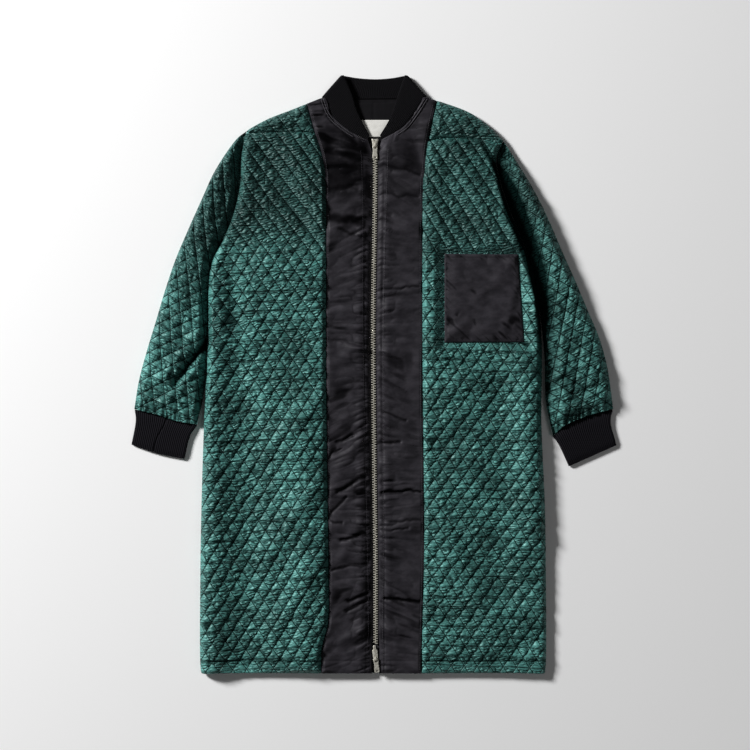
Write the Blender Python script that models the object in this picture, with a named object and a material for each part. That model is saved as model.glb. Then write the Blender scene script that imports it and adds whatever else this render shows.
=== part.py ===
"""A quilted bomber coat with knit collar and cuffs, zipped up and laid flat on its back.

+X is the picture's right, +Y runs from the hem to the collar and +Z stands out of the front.
Sizes are in millimetres, and Cloth.add and prism turn them into metres.
"""
import math

import bmesh
import bpy
import numpy as np
from mathutils.geometry import delaunay_2d_cdt

MM = 0.001
SEAM_GAP = 0.4          # left open between two pieces that are sewn together
STEP = 23.0             # between the points of an outline

# Heights over the floor, and the thickness of each cloth
BACK_WALL = 5.0
FACING_LOW, FACING_WALL = 5.4, 1.2
LABEL_LOW, LABEL_WALL = 7.0, 0.8
BAND_LOW, BAND_WALL = 8.2, 2.8
FRONT_LOW, FRONT_WALL = 5.5, 6.5
POCKET_WALL = 1.5
SLEEVE_WALL, SLEEVE_HOLLOW = 4.5, 3.0
CUFF_WALL, CUFF_HOLLOW = 2.6, 2.0
COLLAR_WALL = 3.2
TAPE_LOW, TAPE_WALL = 6.4, 1.2
ROUND = 10.0            # how far in from an edge the wadding reaches its full height
EDGE_WALL = 2.4         # thickness of a quilted piece at its seam
CORNER_SHARE = 0.6      # of the way to an end's second point, where the inner wall starts
SLIVER = 0.02           # twice the area of a triangle between points that lie in one line

# Triangle quilting: the base of a triangle, its height, and how far it puffs up
QUILT_BASE = 25.0
QUILT_ROW = 18.6
QUILT_PUFF = 2.5
# How far the rows are turned on each piece, and a place where two stitch lines cross
QUILT_TURN = {"left": math.radians(2.5), "right": math.radians(-1.5)}
QUILT_CROSSING = {"left": (-247.8, -369.4), "right": (182.4, -29.1)}
SLEEVE_TURN = {"left": math.radians(-29.0), "right": math.radians(24.0)}

# The body's own lines, as x and y of the points that the cloth's edge passes through
HEM_Y = -563.0
LEFT_SIDE = (
    (-240, 457), (-249, 413), (-252, 355), (-265, 299), (-284, 252), (-303, 216), (-311, 170),
    (-312, 64), (-317, -30), (-321, -120), (-325, -256), (-327, -380), (-327, -546), (-318, HEM_Y))
RIGHT_SIDE = (
    (243, 439), (230, 397), (250, 322), (281, 246), (302, 175), (312, 113), (316, 34),
    (315, -77), (317, -143), (322, -256), (323.5, -380), (323.5, -546), (314, HEM_Y))
LEFT_SHOULDER = ((-94, 520), (-126, 508.5), (-158, 496), (-197, 481), (-226, 466), (-240, 457))
RIGHT_SHOULDER = ((95, 521), (126, 512), (171, 496), (197, 481), (222, 461), (243, 439))
LEFT_SHOULDER_SEAM = ((-111, 454), (-150, 456), (-200, 454), (-235, 453))
RIGHT_SHOULDER_SEAM = ((101, 438), (130, 443), (170, 443), (205, 441), (238, 434))
NECKLINE = ((-94, 520), (-50, 512), (0, 509.5), (50, 512), (95, 521))
LEFT_BAND_EDGE = (
    (-126, 508.5), (-111, 454), (-95, 400), (-90, 320), (-90, 0), (-86, -300), (-85, -490),
    (-97, -520), (-99, HEM_Y))
RIGHT_BAND_EDGE = (
    (117, 514), (101, 438), (95, 384), (91, 320), (91, 0), (94, -300), (90, -490), (89, HEM_Y))
LEFT_NECK_SEAM = ((-12, 441), (-33, 450), (-58, 466), (-81, 489), (-94, 520))
RIGHT_NECK_SEAM = ((15, 442), (36, 453), (57, 467), (76, 491), (95, 521))
ZIP_LINE = ((2.0, 443), (2.0, 330), (-1.3, 100), (0.5, -150), (3.0, -360), (3.0, HEM_Y))
# y and half the width of the slit between the bands, wider at the two sliders
ZIP_SLIT = ((443, 6.6), (424, 6.6), (412, 5.0), (-498, 5.0), (-508, 7.2), (HEM_Y, 7.2))

# Sleeves: the outer fold, the cuff's seam from the outer fold, and the inner fold
LEFT_SLEEVE_OUT = (
    (-240, 457), (-263, 437), (-299, 383), (-325, 327), (-350, 271), (-374, 214), (-393, 158),
    (-410, 101), (-427, 45), (-442, -11), (-451, -66))
LEFT_CUFF_SEAM = ((-451, -66), (-402, -78), (-377, -87), (-333, -95))
RIGHT_SLEEVE_OUT = (
    (243, 439), (267, 402), (301, 346), (329, 289), (353, 233), (378, 177), (402, 120),
    (425, 64), (440, 7), (450, -66))
RIGHT_CUFF_SEAM = ((450, -66), (410, -76), (362, -95), (337, -117))
LEFT_UNDERARM = (-303, 216)
RIGHT_UNDERARM = (302, 175)
LEFT_SLEEVE_IN = (LEFT_UNDERARM, (-311, 170), (-312.5, 64), (-319, -30), (-333, -95))
RIGHT_SLEEVE_IN = (RIGHT_UNDERARM, (312, 113), (320, 34), (323, -50), (337, -117))
# Cuffs: outer fold, hem and inner fold, each from the sleeve's side
LEFT_CUFF_OUT = ((-451, -67), (-449, -90), (-457, -133))
LEFT_CUFF_HEM = ((-457, -133), (-410, -149), (-357, -160))
LEFT_CUFF_IN = ((-333, -95), (-347, -119), (-357, -160))
RIGHT_CUFF_OUT = ((450, -67), (446, -92), (457, -134))
RIGHT_CUFF_HEM = ((457, -134), (412, -154), (367, -174))
RIGHT_CUFF_IN = ((337, -117), (349, -135), (367, -174))
CUFF_STEP = 14.0
RIB_PITCH = 3.4
RIB_RISE = 0.7

# Collar: its free edge from the centre front to the side, and over the back
LEFT_COLLAR_TOP = ((-8, 448), (-21, 472), (-33, 498), (-42, 528), (-57, 562))
RIGHT_COLLAR_TOP = ((11, 449), (28, 477), (36, 497), (46, 528), (58, 562))
BACK_COLLAR_TOP = ((-57, 562), (-30, 557.5), (3, 555.5), (33, 557.5), (58, 562))

# Folds: x and y of both ends, half its width, and how far it rises (or sinks)
BODY_FOLDS = (
    (-205, 380, -272, 120, 32, 3.6), (-230, 60, -180, -240, 42, 2.6),
    (-292, -150, -280, -470, 26, 3.4), (-150, -330, -240, -520, 36, 2.4),
    (-170, 300, -130, 20, 30, -1.4), (-120, -60, -290, -110, 22, -1.5),
    (150, 400, 225, 260, 30, 3.2), (272, 60, 268, -230, 26, 3.8),
    (160, -60, 220, -330, 40, 2.6), (286, -300, 280, -520, 26, 3.4),
    (120, -120, 290, -40, 20, -1.6), (130, -400, 250, -440, 22, -1.3),
    (197, 436, 238, 372, 10, -4.2), (243, 345, 303, 178, 17, -4.4),
    (303, 178, 317, 20, 16, -4.4), (317, 20, 316, -70, 13, -3.0))
LEFT_SLEEVE_FOLDS = (
    (-320, 58, -376, -22, 10, -5.0), (-335, 78, -398, -4, 13, 2.6),
    (-326, 10, -400, -62, 12, 2.0), (-270, 400, -330, 230, 14, 1.8),
    (-392, 120, -345, 60, 12, -1.8), (-350, 200, -385, 60, 14, 1.6))
RIGHT_SLEEVE_FOLDS = (
    (243, 345, 303, 178, 15, -4.2), (303, 178, 318, 20, 15, -4.2),
    (318, 20, 325, -60, 12, -3.0), (300, 330, 372, 160, 14, 2.2),
    (352, 110, 425, 40, 12, -2.2), (345, 60, 360, -70, 16, 2.2),
    (395, 60, 420, -50, 14, 1.8))

# Patch pocket on the right front
POCKET = ((132.5, 59), (282, 60), (271, 225), (132.5, 226))
POCKET_FOLDS = (
    (140, 70, 262, 215, 12, 1.6), (240, 66, 276, 190, 9, 1.4), (150, 215, 200, 120, 10, 1.1))
FACING = ((-78, 507.6), (-74, 436), (-50, 432), (54, 432), (78, 436), (82, 508.4))
LABEL = ((-30, 446), (34, 446), (34, 478), (-30, 478))

# Zip, in the x and y of each slider's hinge
TEETH_HALF = 3.0
TEETH_TOP = 10.2
TOP_HINGE = (2.0, 429.0)
BOTTOM_HINGE = (3.4, -536.5)
BOTTOM_TURN = math.radians(6.0)
SLIDER_LOW, SLIDER_TOP = 6.9, 11.4
HINGE_Z = 12.95
PULL_LENGTH, PULL_WIDTH, PULL_THICK = 25.0, 9.4, 1.3

QUILT_LOOK = ("quilted_satin", (0.035, 0.135, 0.105), 0.38, 0.0)
BAND_LOOK = ("black_satin", (0.018, 0.017, 0.021), 0.42, 0.0)
KNIT_LOOK = ("rib_knit", (0.008, 0.007, 0.010), 0.85, 0.0)
LABEL_LOOK = ("label_cloth", (0.75, 0.74, 0.71), 0.7, 0.0)
TAPE_LOOK = ("zip_tape", (0.012, 0.012, 0.014), 0.8, 0.0)
METAL_LOOK = ("zip_metal", (0.42, 0.40, 0.34), 0.32, 1.0)


# ---------------------------------------------------------------- lines on the plan
def smooth_path(rows, step=STEP):
    """A Catmull-Rom curve through the rows, with a point about every step."""
    rows = np.array(rows, float)
    rows = np.vstack([2 * rows[0] - rows[1], rows, 2 * rows[-1] - rows[-2]])
    parts = []
    for a, b, c, d in zip(rows[:-3], rows[1:-2], rows[2:-1], rows[3:]):
        count = max(1, round(np.linalg.norm(c - b) / step))
        t = np.arange(count)[:, None] / count
        bend = (2 * a - 5 * b + 4 * c - d) * t ** 2 + (3 * b - a - 3 * c + d) * t ** 3
        parts.append(b + 0.5 * ((c - a) * t + bend))
    return np.vstack(parts + [rows[-2:-1]])


def straight(start, end, step=STEP):
    """Points about a step apart on a straight line."""
    count = max(1, round(math.dist(start, end) / step))
    t = np.linspace(0, 1, count + 1)[:, None]
    return np.array(start, float) * (1 - t) + np.array(end, float) * t


def resample(path, count):
    """The path again, as a number of points at equal distances."""
    run = np.concatenate([[0], np.cumsum(np.linalg.norm(np.diff(path, axis=0), axis=1))])
    at = np.linspace(0, run[-1], count)
    return np.column_stack([np.interp(at, run, column) for column in path.T])


def end_path(path, corner=7.0, step=STEP):
    """A tube's end, with a point close to each corner so that the folds can round off."""
    run = np.concatenate([[0], np.cumsum(np.linalg.norm(np.diff(path, axis=0), axis=1))])
    count = max(1, round((run[-1] - 2 * corner) / step))
    at = np.concatenate([[0], np.linspace(corner, run[-1] - corner, count + 1), [run[-1]]])
    return np.column_stack([np.interp(at, run, column) for column in path.T])


def outline(*paths):
    """Paths end to end as one anticlockwise loop, without the points that two of them share."""
    loop = np.vstack(paths)
    loop = loop[np.linalg.norm(loop - np.roll(loop, 1, axis=0), axis=1) > 1.0]
    ahead = np.roll(loop, -1, axis=0)
    area = np.sum(loop[:, 0] * ahead[:, 1] - loop[:, 1] * ahead[:, 0])
    return loop if area > 0 else loop[::-1]


def moved_in(loop, distance):
    """An anticlockwise loop moved in by a distance, with mitred corners."""
    ahead = np.roll(loop, -1, axis=0) - loop
    ahead /= np.linalg.norm(ahead, axis=1)[:, None]
    behind = np.roll(ahead, 1, axis=0)
    inward = np.column_stack([-ahead[:, 1] - behind[:, 1], ahead[:, 0] + behind[:, 0]])
    inward /= np.linalg.norm(inward, axis=1)[:, None]
    mitre = np.maximum(inward[:, 1] * ahead[:, 0] - inward[:, 0] * ahead[:, 1], 0.5)
    return loop + inward * (distance / mitre)[:, None]


def line_distance(points, path):
    """How far each point is from the nearest piece of an open path."""
    start, along = path[:-1], np.diff(path, axis=0)
    reach = points[:, None] - start[None]
    t = np.clip((reach * along).sum(-1) / (along ** 2).sum(-1), 0, 1)
    return np.linalg.norm(reach - t[..., None] * along, axis=-1).min(axis=1)


def edge_distance(points, loop):
    """How far each point is from a closed loop."""
    return line_distance(points, np.vstack([loop, loop[:1]]))


def inside(points, loop):
    """Which points lie in the loop, by the number of its sides that a ray to +X crosses."""
    ahead = np.roll(loop, -1, axis=0)
    spans = (loop[None, :, 1] > points[:, 1:]) != (ahead[None, :, 1] > points[:, 1:])
    climb = np.where(ahead[:, 1] == loop[:, 1], 1.0, ahead[:, 1] - loop[:, 1])
    slope = (ahead[:, 0] - loop[:, 0]) / climb
    cross = loop[None, :, 0] + (points[:, 1:] - loop[None, :, 1]) * slope
    return (spans & (points[:, :1] < cross)).sum(axis=1) % 2 == 1


def rise(points, folds):
    """Height of the folds: each a soft ridge or trough about a straight line."""
    total = np.zeros(len(points))
    for x0, y0, x1, y1, half_width, height in folds:
        away = line_distance(points, np.array([[x0, y0], [x1, y1]], float))
        total += height * np.exp(-(away / half_width) ** 2)
    return total


def rounded(distance, reach):
    """A quarter circle from 0 at the edge to 1 where the reach ends."""
    t = np.clip(distance / reach, 0, 1)
    return np.sqrt(1 - (1 - t) ** 2)


# ---------------------------------------------------------------- cloth
class Cloth:
    """Gathers the sheets and strips of one piece, whose shared points are merged at the end."""

    def __init__(self):
        self.mesh = bmesh.new()

    def add(self, points, faces):
        """Points in space and faces between them."""
        verts = [self.mesh.verts.new(p) for p in np.asarray(points, float) * MM]
        for face in faces:
            self.mesh.faces.new([verts[i] for i in face])

    def strip(self, first, second):
        """Triangles between two lines of points that run side by side."""
        a, b = np.asarray(first, float), np.asarray(second, float)
        run_a = np.linspace(0, 1, len(a))
        run_b = np.linspace(0, 1, len(b))
        i, j, faces = 0, 0, []
        while i < len(a) - 1 or j < len(b) - 1:
            step_a = j == len(b) - 1 or (i < len(a) - 1 and run_a[i + 1] <= run_b[j + 1] + 1e-9)
            faces.append((i, i + 1, len(a) + j) if step_a else (i, len(a) + j + 1, len(a) + j))
            i, j = (i + 1, j) if step_a else (i, j + 1)
        points = np.vstack([a, b])
        corners = points[np.array(faces)]
        sides = np.linalg.norm(corners - np.roll(corners, 1, axis=1), axis=2)
        self.add(points, [f for f, shortest in zip(faces, sides.min(axis=1)) if shortest > 1e-6])

    def finish(self, name, look):
        """Merges the shared points, turns the faces outwards and makes the object."""
        bmesh.ops.remove_doubles(self.mesh, verts=self.mesh.verts, dist=1e-7)
        bmesh.ops.triangulate(self.mesh, faces=self.mesh.faces)
        bmesh.ops.recalc_face_normals(self.mesh, faces=self.mesh.faces)
        data = bpy.data.meshes.new(name)
        self.mesh.to_mesh(data)
        self.mesh.free()
        return place(name, data, look)


def place(name, data, look):
    """Links a mesh as an object with its own material."""
    label, colour, roughness, metallic = look
    material = bpy.data.materials.new(label + "_" + name)
    material.use_nodes = True
    surface = material.node_tree.nodes["Principled BSDF"]
    surface.inputs["Base Color"].default_value = (*colour, 1.0)
    surface.inputs["Roughness"].default_value = roughness
    surface.inputs["Metallic"].default_value = metallic
    data.materials.append(material)
    piece = bpy.data.objects.new(name, data)
    bpy.context.scene.collection.objects.link(piece)
    return piece


def quilting(loop, turn, origin, margin, bare=None):
    """Triangle quilting in a loop: where the stitch lines cross, the lines, and the puffs.

    a runs along a row and b from a crossing to the next row, half a triangle further on.
    """
    row, up = (math.cos(turn), math.sin(turn)), (-math.sin(turn), math.cos(turn))
    a = QUILT_BASE * np.array(row)
    b = a / 2 + QUILT_ROW * np.array(up)
    corners = np.linalg.solve(np.column_stack([a, b]), (loop - origin).T)
    low = np.floor(corners.min(axis=1)).astype(int) - 1
    high = np.ceil(corners.max(axis=1)).astype(int) + 1
    i, j = np.meshgrid(np.arange(low[0], high[0]), np.arange(low[1], high[1]), indexing="ij")
    i, j = i.ravel(), j.ravel()

    def kept(points, reach):
        good = inside(points, loop) & (edge_distance(points, loop) > reach)
        if bare is not None:
            good &= ~inside(points, bare)
        return good

    crossings = np.array(origin) + i[:, None] * a + j[:, None] * b
    keep = kept(crossings, margin + 6.0)
    index = {(p, q): k for k, (p, q) in enumerate(zip(i[keep], j[keep]))}
    lines = []
    for (p, q), k in index.items():
        near = [(p + 1, q), (p, q + 1), (p - 1, q + 1)]
        lines += [(k, index[n]) for n in near if n in index]
    centres = np.vstack([crossings + (a + b) / 3, crossings + (a + b) * 2 / 3])
    centres = centres[kept(centres, margin + 3.0)]
    return crossings[keep], lines, centres


def sheet(loop, height, ring=None, quilt=None, points=None):
    """A triangulated sheet in a loop: height gives each point's z from its plan and its puff."""
    groups = [loop] + [g for g in (ring, points) if g is not None]
    edges = [(k, (k + 1) % len(loop)) for k in range(len(loop))]
    if ring is not None:
        edges += [(len(loop) + k, len(loop) + (k + 1) % len(ring)) for k in range(len(ring))]
    first_centre = None
    if quilt is not None:
        crossings, lines, centres = quilt
        start = sum(len(g) for g in groups)
        edges += [(start + p, start + q) for p, q in lines]
        first_centre = start + len(crossings)
        groups += [crossings, centres]
    plan = [tuple(p) for p in np.vstack(groups)]
    made = delaunay_2d_cdt(plan, edges, [], 0, 1e-6, True)
    flat, faces, origins = np.array([tuple(v) for v in made[0]]), np.array(made[2]), made[3]
    p, q, r = (flat[faces[:, k]] for k in range(3))
    area = (q[:, 0] - p[:, 0]) * (r[:, 1] - p[:, 1]) - (q[:, 1] - p[:, 1]) * (r[:, 0] - p[:, 0])
    faces = faces[inside((p + q + r) / 3, loop) & (np.abs(area) > SLIVER)]
    puff = np.zeros(len(flat))
    if first_centre is not None:
        puff = np.array([float(any(o >= first_centre for o in origin)) for origin in origins])
    for k, origin in enumerate(origins):
        if origin:
            flat[k] = plan[origin[0]]
    return np.column_stack([flat, height(flat, puff)]), faces


def level(z):
    """A plain height for a sheet."""
    return lambda points, puff: np.full(len(points), float(z))


def in_space(points, z):
    """Plan points at one height."""
    return np.column_stack([points, np.full(len(points), float(z))])


def panel(name, loop, low, height, look, ring=None, quilt=None, points=None, tuck=0.0):
    """A piece laid flat: an outer sheet over a plain inside, with a wall round its edge."""
    cloth = Cloth()
    outer, faces = sheet(loop, height, ring, quilt, points)
    cloth.add(outer, faces)
    under = moved_in(loop, tuck) if tuck else loop
    cloth.add(*sheet(under, level(low)))
    top_edge = np.column_stack([loop, height(loop, np.zeros(len(loop)))])
    low_edge = in_space(under, low)
    cloth.strip(np.vstack([top_edge, top_edge[:1]]), np.vstack([low_edge, low_edge[:1]]))
    return cloth.finish(name, look)


def quilted_height(loop, low, wall, folds, bare=None):
    """Height of a quilted face: rounded at its edge, folded, and puffed between the stitches."""
    def height(points, puff):
        away = edge_distance(points, loop)
        fold = rise(points, folds) * np.clip(away / 12.0, 0.25, 1)
        if bare is not None:
            near = np.where(inside(points, bare), 0.0, edge_distance(points, bare))
            fold *= np.clip(near / 20.0, 0, 1)
        puffed = QUILT_PUFF * puff * np.clip(away / 14.0, 0.4, 1)
        return low + EDGE_WALL + (wall - EDGE_WALL) * rounded(away, ROUND) + fold + puffed
    return height


def quilted_panel(name, side, loop, folds=(), bare=None):
    """A front or shoulder piece in quilted satin."""
    loop = moved_in(loop, SEAM_GAP / 2)
    flat = None if bare is None else moved_in(bare, -9.0)
    edge = None if bare is None else moved_in(bare, -2.0)
    height = quilted_height(loop, FRONT_LOW, FRONT_WALL, folds, flat)
    quilt = quilting(loop, QUILT_TURN[side], QUILT_CROSSING[side], 5.0, flat)
    return panel(name + "_" + side, loop, FRONT_LOW, height, QUILT_LOOK, moved_in(loop, 4.0),
                 quilt, edge)


# ---------------------------------------------------------------- body
def body_pieces():
    """Back, shoulders, fronts, bands, facing, label and pocket."""
    left_side, right_side = smooth_path(LEFT_SIDE), smooth_path(RIGHT_SIDE)
    left_top, right_top = smooth_path(LEFT_SHOULDER), smooth_path(RIGHT_SHOULDER)
    hem = straight(LEFT_SIDE[-1], RIGHT_SIDE[-1], 40.0)
    back = outline(smooth_path(LEFT_SIDE, 36.0), hem, smooth_path(RIGHT_SIDE, 36.0)[::-1],
                   right_top[::-1], smooth_path(NECKLINE)[::-1], left_top)
    back = moved_in(back, SEAM_GAP / 2)
    panel("back", back, 0.0, level(BACK_WALL), QUILT_LOOK, tuck=3.0)

    pocket = outline(*[straight(a, b, 13.0) for a, b in zip(POCKET, POCKET[1:] + POCKET[:1])])
    left_band, right_band = smooth_path(LEFT_BAND_EDGE), smooth_path(RIGHT_BAND_EDGE)
    left_seam, right_seam = smooth_path(LEFT_SHOULDER_SEAM), smooth_path(RIGHT_SHOULDER_SEAM)
    sides = (
        ("left", left_side, left_band, left_seam, left_top, LEFT_NECK_SEAM, -1, None),
        ("right", right_side, right_band, right_seam, right_top, RIGHT_NECK_SEAM, 1, pocket))
    for name, side, band, seam, top, neck, sign, bare in sides:
        seam_y = seam[0][1]
        below = band[band[:, 1] < seam_y - 4.0]
        above = band[band[:, 1] > seam_y + 4.0]
        hem_run = straight(side[-1], band[-1])
        front = outline(seam, side[1:], hem_run, below[::-1], seam[:1])
        quilted_panel("front", name, front, BODY_FOLDS, bare)
        out_top = top[np.abs(top[:, 0]) > abs(band[0][0]) - 1.0]
        shoulder = outline(above, seam, top[-1:], out_top[::-1])
        quilted_panel("shoulder", name, shoulder)
        inner_top = top[np.abs(top[:, 0]) < abs(band[0][0]) + 1.0]
        front_band(name, band, inner_top, smooth_path(neck, 6.0), sign)

    facing = outline(*[straight(a, b) for a, b in zip(FACING, FACING[1:] + FACING[:1])])
    panel("neck_facing", facing, FACING_LOW, level(FACING_LOW + FACING_WALL), BAND_LOOK)
    label = outline(*[straight(a, b) for a, b in zip(LABEL, LABEL[1:] + LABEL[:1])])
    panel("neck_label", label, LABEL_LOW, level(LABEL_LOW + LABEL_WALL), LABEL_LOOK)
    pocket_piece(pocket)


def zip_edge(sign):
    """The edge of a band along the slit that shows the teeth."""
    middle = smooth_path(ZIP_LINE, 15.0)
    slit = np.array(ZIP_SLIT, float)[::-1]
    half = np.interp(middle[:, 1], slit[:, 0], slit[:, 1])
    return np.column_stack([middle[:, 0] + sign * half, middle[:, 1]])


def front_band(name, outer_edge, top, neck, sign):
    """A plain satin strip beside the zip, drawn up by its stitching into short puckers."""
    inner = zip_edge(sign)
    inner = inner[inner[:, 1] < neck[0][1] - 3.0]
    hem = straight(outer_edge[-1], inner[-1])
    loop = outline(outer_edge, hem, inner[::-1], neck, top)
    loop = moved_in(loop, SEAM_GAP / 2)
    rows = np.arange(HEM_Y + 12, 425, 14.5)
    slit_x = np.interp(rows, inner[::-1, 1], inner[::-1, 0])
    edge_x = np.interp(rows, outer_edge[::-1, 1], outer_edge[::-1, 0])
    columns = [np.column_stack([slit_x + (edge_x - slit_x) * t, rows]) for t in (0.1, 0.5, 0.88)]
    points = np.vstack(columns)

    def height(plan, puff):
        away = edge_distance(plan, loop)
        near = np.exp(-np.abs(plan[:, 0]) / 55.0)
        wave = np.cos(2 * math.pi * (plan[:, 1] + 0.25 * np.abs(plan[:, 0])) / 29.0)
        lift = BAND_WALL + 0.8 * wave * near * np.clip(away / 6.0, 0, 1)
        return BAND_LOW + lift - 0.9 * (1 - rounded(away, 4.0))

    return panel("band_" + name, loop, BAND_LOW, height, BAND_LOOK, points=points)


def pocket_piece(loop):
    """A patch pocket lying on the right front, with the creases across it."""
    low = FRONT_LOW + FRONT_WALL + SEAM_GAP
    grid = np.stack(np.meshgrid(np.arange(140, 280, 14.0), np.arange(66, 222, 14.0)), -1)
    grid = grid.reshape(-1, 2)
    grid = grid[inside(grid, loop) & (edge_distance(grid, loop) > 5.0)]

    def height(points, puff):
        soft = np.clip(edge_distance(points, loop) / 8.0, 0, 1)
        return low + POCKET_WALL + rise(points, POCKET_FOLDS) * soft

    return panel("pocket", loop, low, height, BAND_LOOK, points=grid)


# ---------------------------------------------------------------- tubes
def flat_tube(name, fold_a, end_far, fold_b, end_near, sizes, look, top_extra, quilt):
    """A tube of cloth laid flat: four sheets that meet at its two folds, and two open ends.

    fold_a runs from the near end to the far end and fold_b back again. sizes are the wall,
    the hollow between its two inner faces, and how far in its folds round off. top_extra
    gives the folds and puffs of its upper face.
    """
    wall, hollow, reach = sizes
    middle = wall + hollow / 2
    folds = [fold_a, fold_b]

    def to_fold(points):
        return np.minimum(line_distance(points, fold_a), line_distance(points, fold_b))

    def top_out(points, puff):
        full = wall + hollow / 2
        return middle + full * rounded(to_fold(points), reach) + top_extra(points, puff)

    def low_out(points, puff):
        return middle * (1 - rounded(to_fold(points), reach * 0.6))

    ring_a, ring_b = (inner_fold(f, 4.0) for f in folds)
    mid_points = np.vstack([ring_a, ring_b])
    loop = outline(fold_a, end_far, fold_b, end_near)
    cloth = Cloth()
    cloth.add(*sheet(loop, top_out, points=mid_points, quilt=quilt))
    low_ring = np.vstack([inner_fold(f, reach * 0.62) for f in folds])
    cloth.add(*sheet(loop, low_out, points=low_ring))
    in_a, in_b = (inner_fold(f, wall, ends=True) for f in folds)
    in_a[0], in_a[-1] = beside(end_near[::-1]), beside(end_far)
    in_b[0], in_b[-1] = beside(end_far[::-1]), beside(end_near)
    far_in = np.vstack([in_a[-1:], end_far[1:-1], in_b[:1]])
    near_in = np.vstack([in_b[-1:], end_near[1:-1], in_a[:1]])
    inner_loop = outline(in_a, far_in, in_b, near_in)

    def inner(sign):
        def height(points, puff):
            away = np.minimum(line_distance(points, in_a), line_distance(points, in_b))
            return middle + sign * hollow / 2 * rounded(away, 5.0)
        return height

    in_ring = np.vstack([inner_fold(f, wall + 5.0) for f in folds])
    for sign in (1, -1):
        cloth.add(*sheet(inner_loop, inner(sign), points=in_ring))
    for end, end_in in ((end_far, far_in), (end_near, near_in)):
        for outer_height, sign in ((top_out, 1), (low_out, -1)):
            flat = np.zeros(len(end))
            cloth.strip(np.column_stack([end, outer_height(end, flat)]),
                        np.column_stack([end_in, inner(sign)(end_in, flat)]))
    return cloth.finish(name, look)


def inner_fold(fold, distance, ends=False):
    """A fold's line moved into the tube, which lies to the left of it."""
    along = np.gradient(fold, axis=0)
    along /= np.linalg.norm(along, axis=1)[:, None]
    moved = fold + distance * np.column_stack([-along[:, 1], along[:, 0]])
    return moved if ends else moved[1:-1]


def beside(end):
    """The inner wall's corner: on the tube's end, a little way in from the fold."""
    return end[0] + CORNER_SHARE * (end[1] - end[0])


def sleeves():
    """Two quilted sleeves beside the body, each a tube laid flat."""
    rows = (
        ("left", LEFT_SLEEVE_OUT, LEFT_CUFF_SEAM, LEFT_SLEEVE_IN, LEFT_SIDE, LEFT_UNDERARM,
         LEFT_SLEEVE_FOLDS),
        ("right", RIGHT_SLEEVE_OUT, RIGHT_CUFF_SEAM, RIGHT_SLEEVE_IN, RIGHT_SIDE, RIGHT_UNDERARM,
         RIGHT_SLEEVE_FOLDS))
    for name, out, seam, inner, side, underarm, folds in rows:
        armhole = side[:side.index(underarm) + 1]
        shift = np.array([-1.2 if name == "left" else 1.2, 0.0])
        fold_out = smooth_path(out)
        fold_in = smooth_path(inner)
        fold_in = fold_in + shift * np.linspace(1, 0, len(fold_in))[:, None] ** 0.5
        arm = smooth_path(armhole) + shift
        cuff = smooth_path(seam, CUFF_STEP) + np.array([0.0, 0.5 * SEAM_GAP])
        make_sleeve(name, fold_out, cuff, fold_in, arm, folds)


def make_sleeve(name, fold_out, cuff, fold_in, arm, folds):
    """One sleeve from its four lines, whose ends are brought together first."""
    fold_out[0] = arm[0]
    for fold in (fold_out, fold_in):
        fold[-1, 1] += SEAM_GAP
    cuff[0], cuff[-1] = fold_out[-1], fold_in[-1]
    arm[-1] = fold_in[0]
    fold_a, fold_b = fold_out, fold_in[::-1]
    far, near = end_path(cuff, step=CUFF_STEP), end_path(arm[::-1])
    if name == "right":
        fold_a, fold_b = fold_in, fold_out[::-1]
        far, near = end_path(cuff[::-1], step=CUFF_STEP), end_path(arm)
    loop = outline(fold_a, far, fold_b, near)

    def extra(points, puff):
        ends = np.minimum(line_distance(points, far), line_distance(points, near))
        fold_edge = np.minimum(line_distance(points, fold_a), line_distance(points, fold_b))
        soft = np.clip(fold_edge / 14.0, 0, 1)
        seam = -2.2 * np.exp(-(ends / 5.0) ** 2) * soft
        return rise(points, folds) * soft + QUILT_PUFF * puff * np.clip(soft, 0.4, 1) + seam

    quilt = quilting(loop, SLEEVE_TURN[name], (0.0, 0.0), 5.0)
    sizes = (SLEEVE_WALL, SLEEVE_HOLLOW, ROUND)
    return flat_tube("sleeve_" + name, fold_a, far, fold_b, near, sizes, QUILT_LOOK, extra, quilt)


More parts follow.
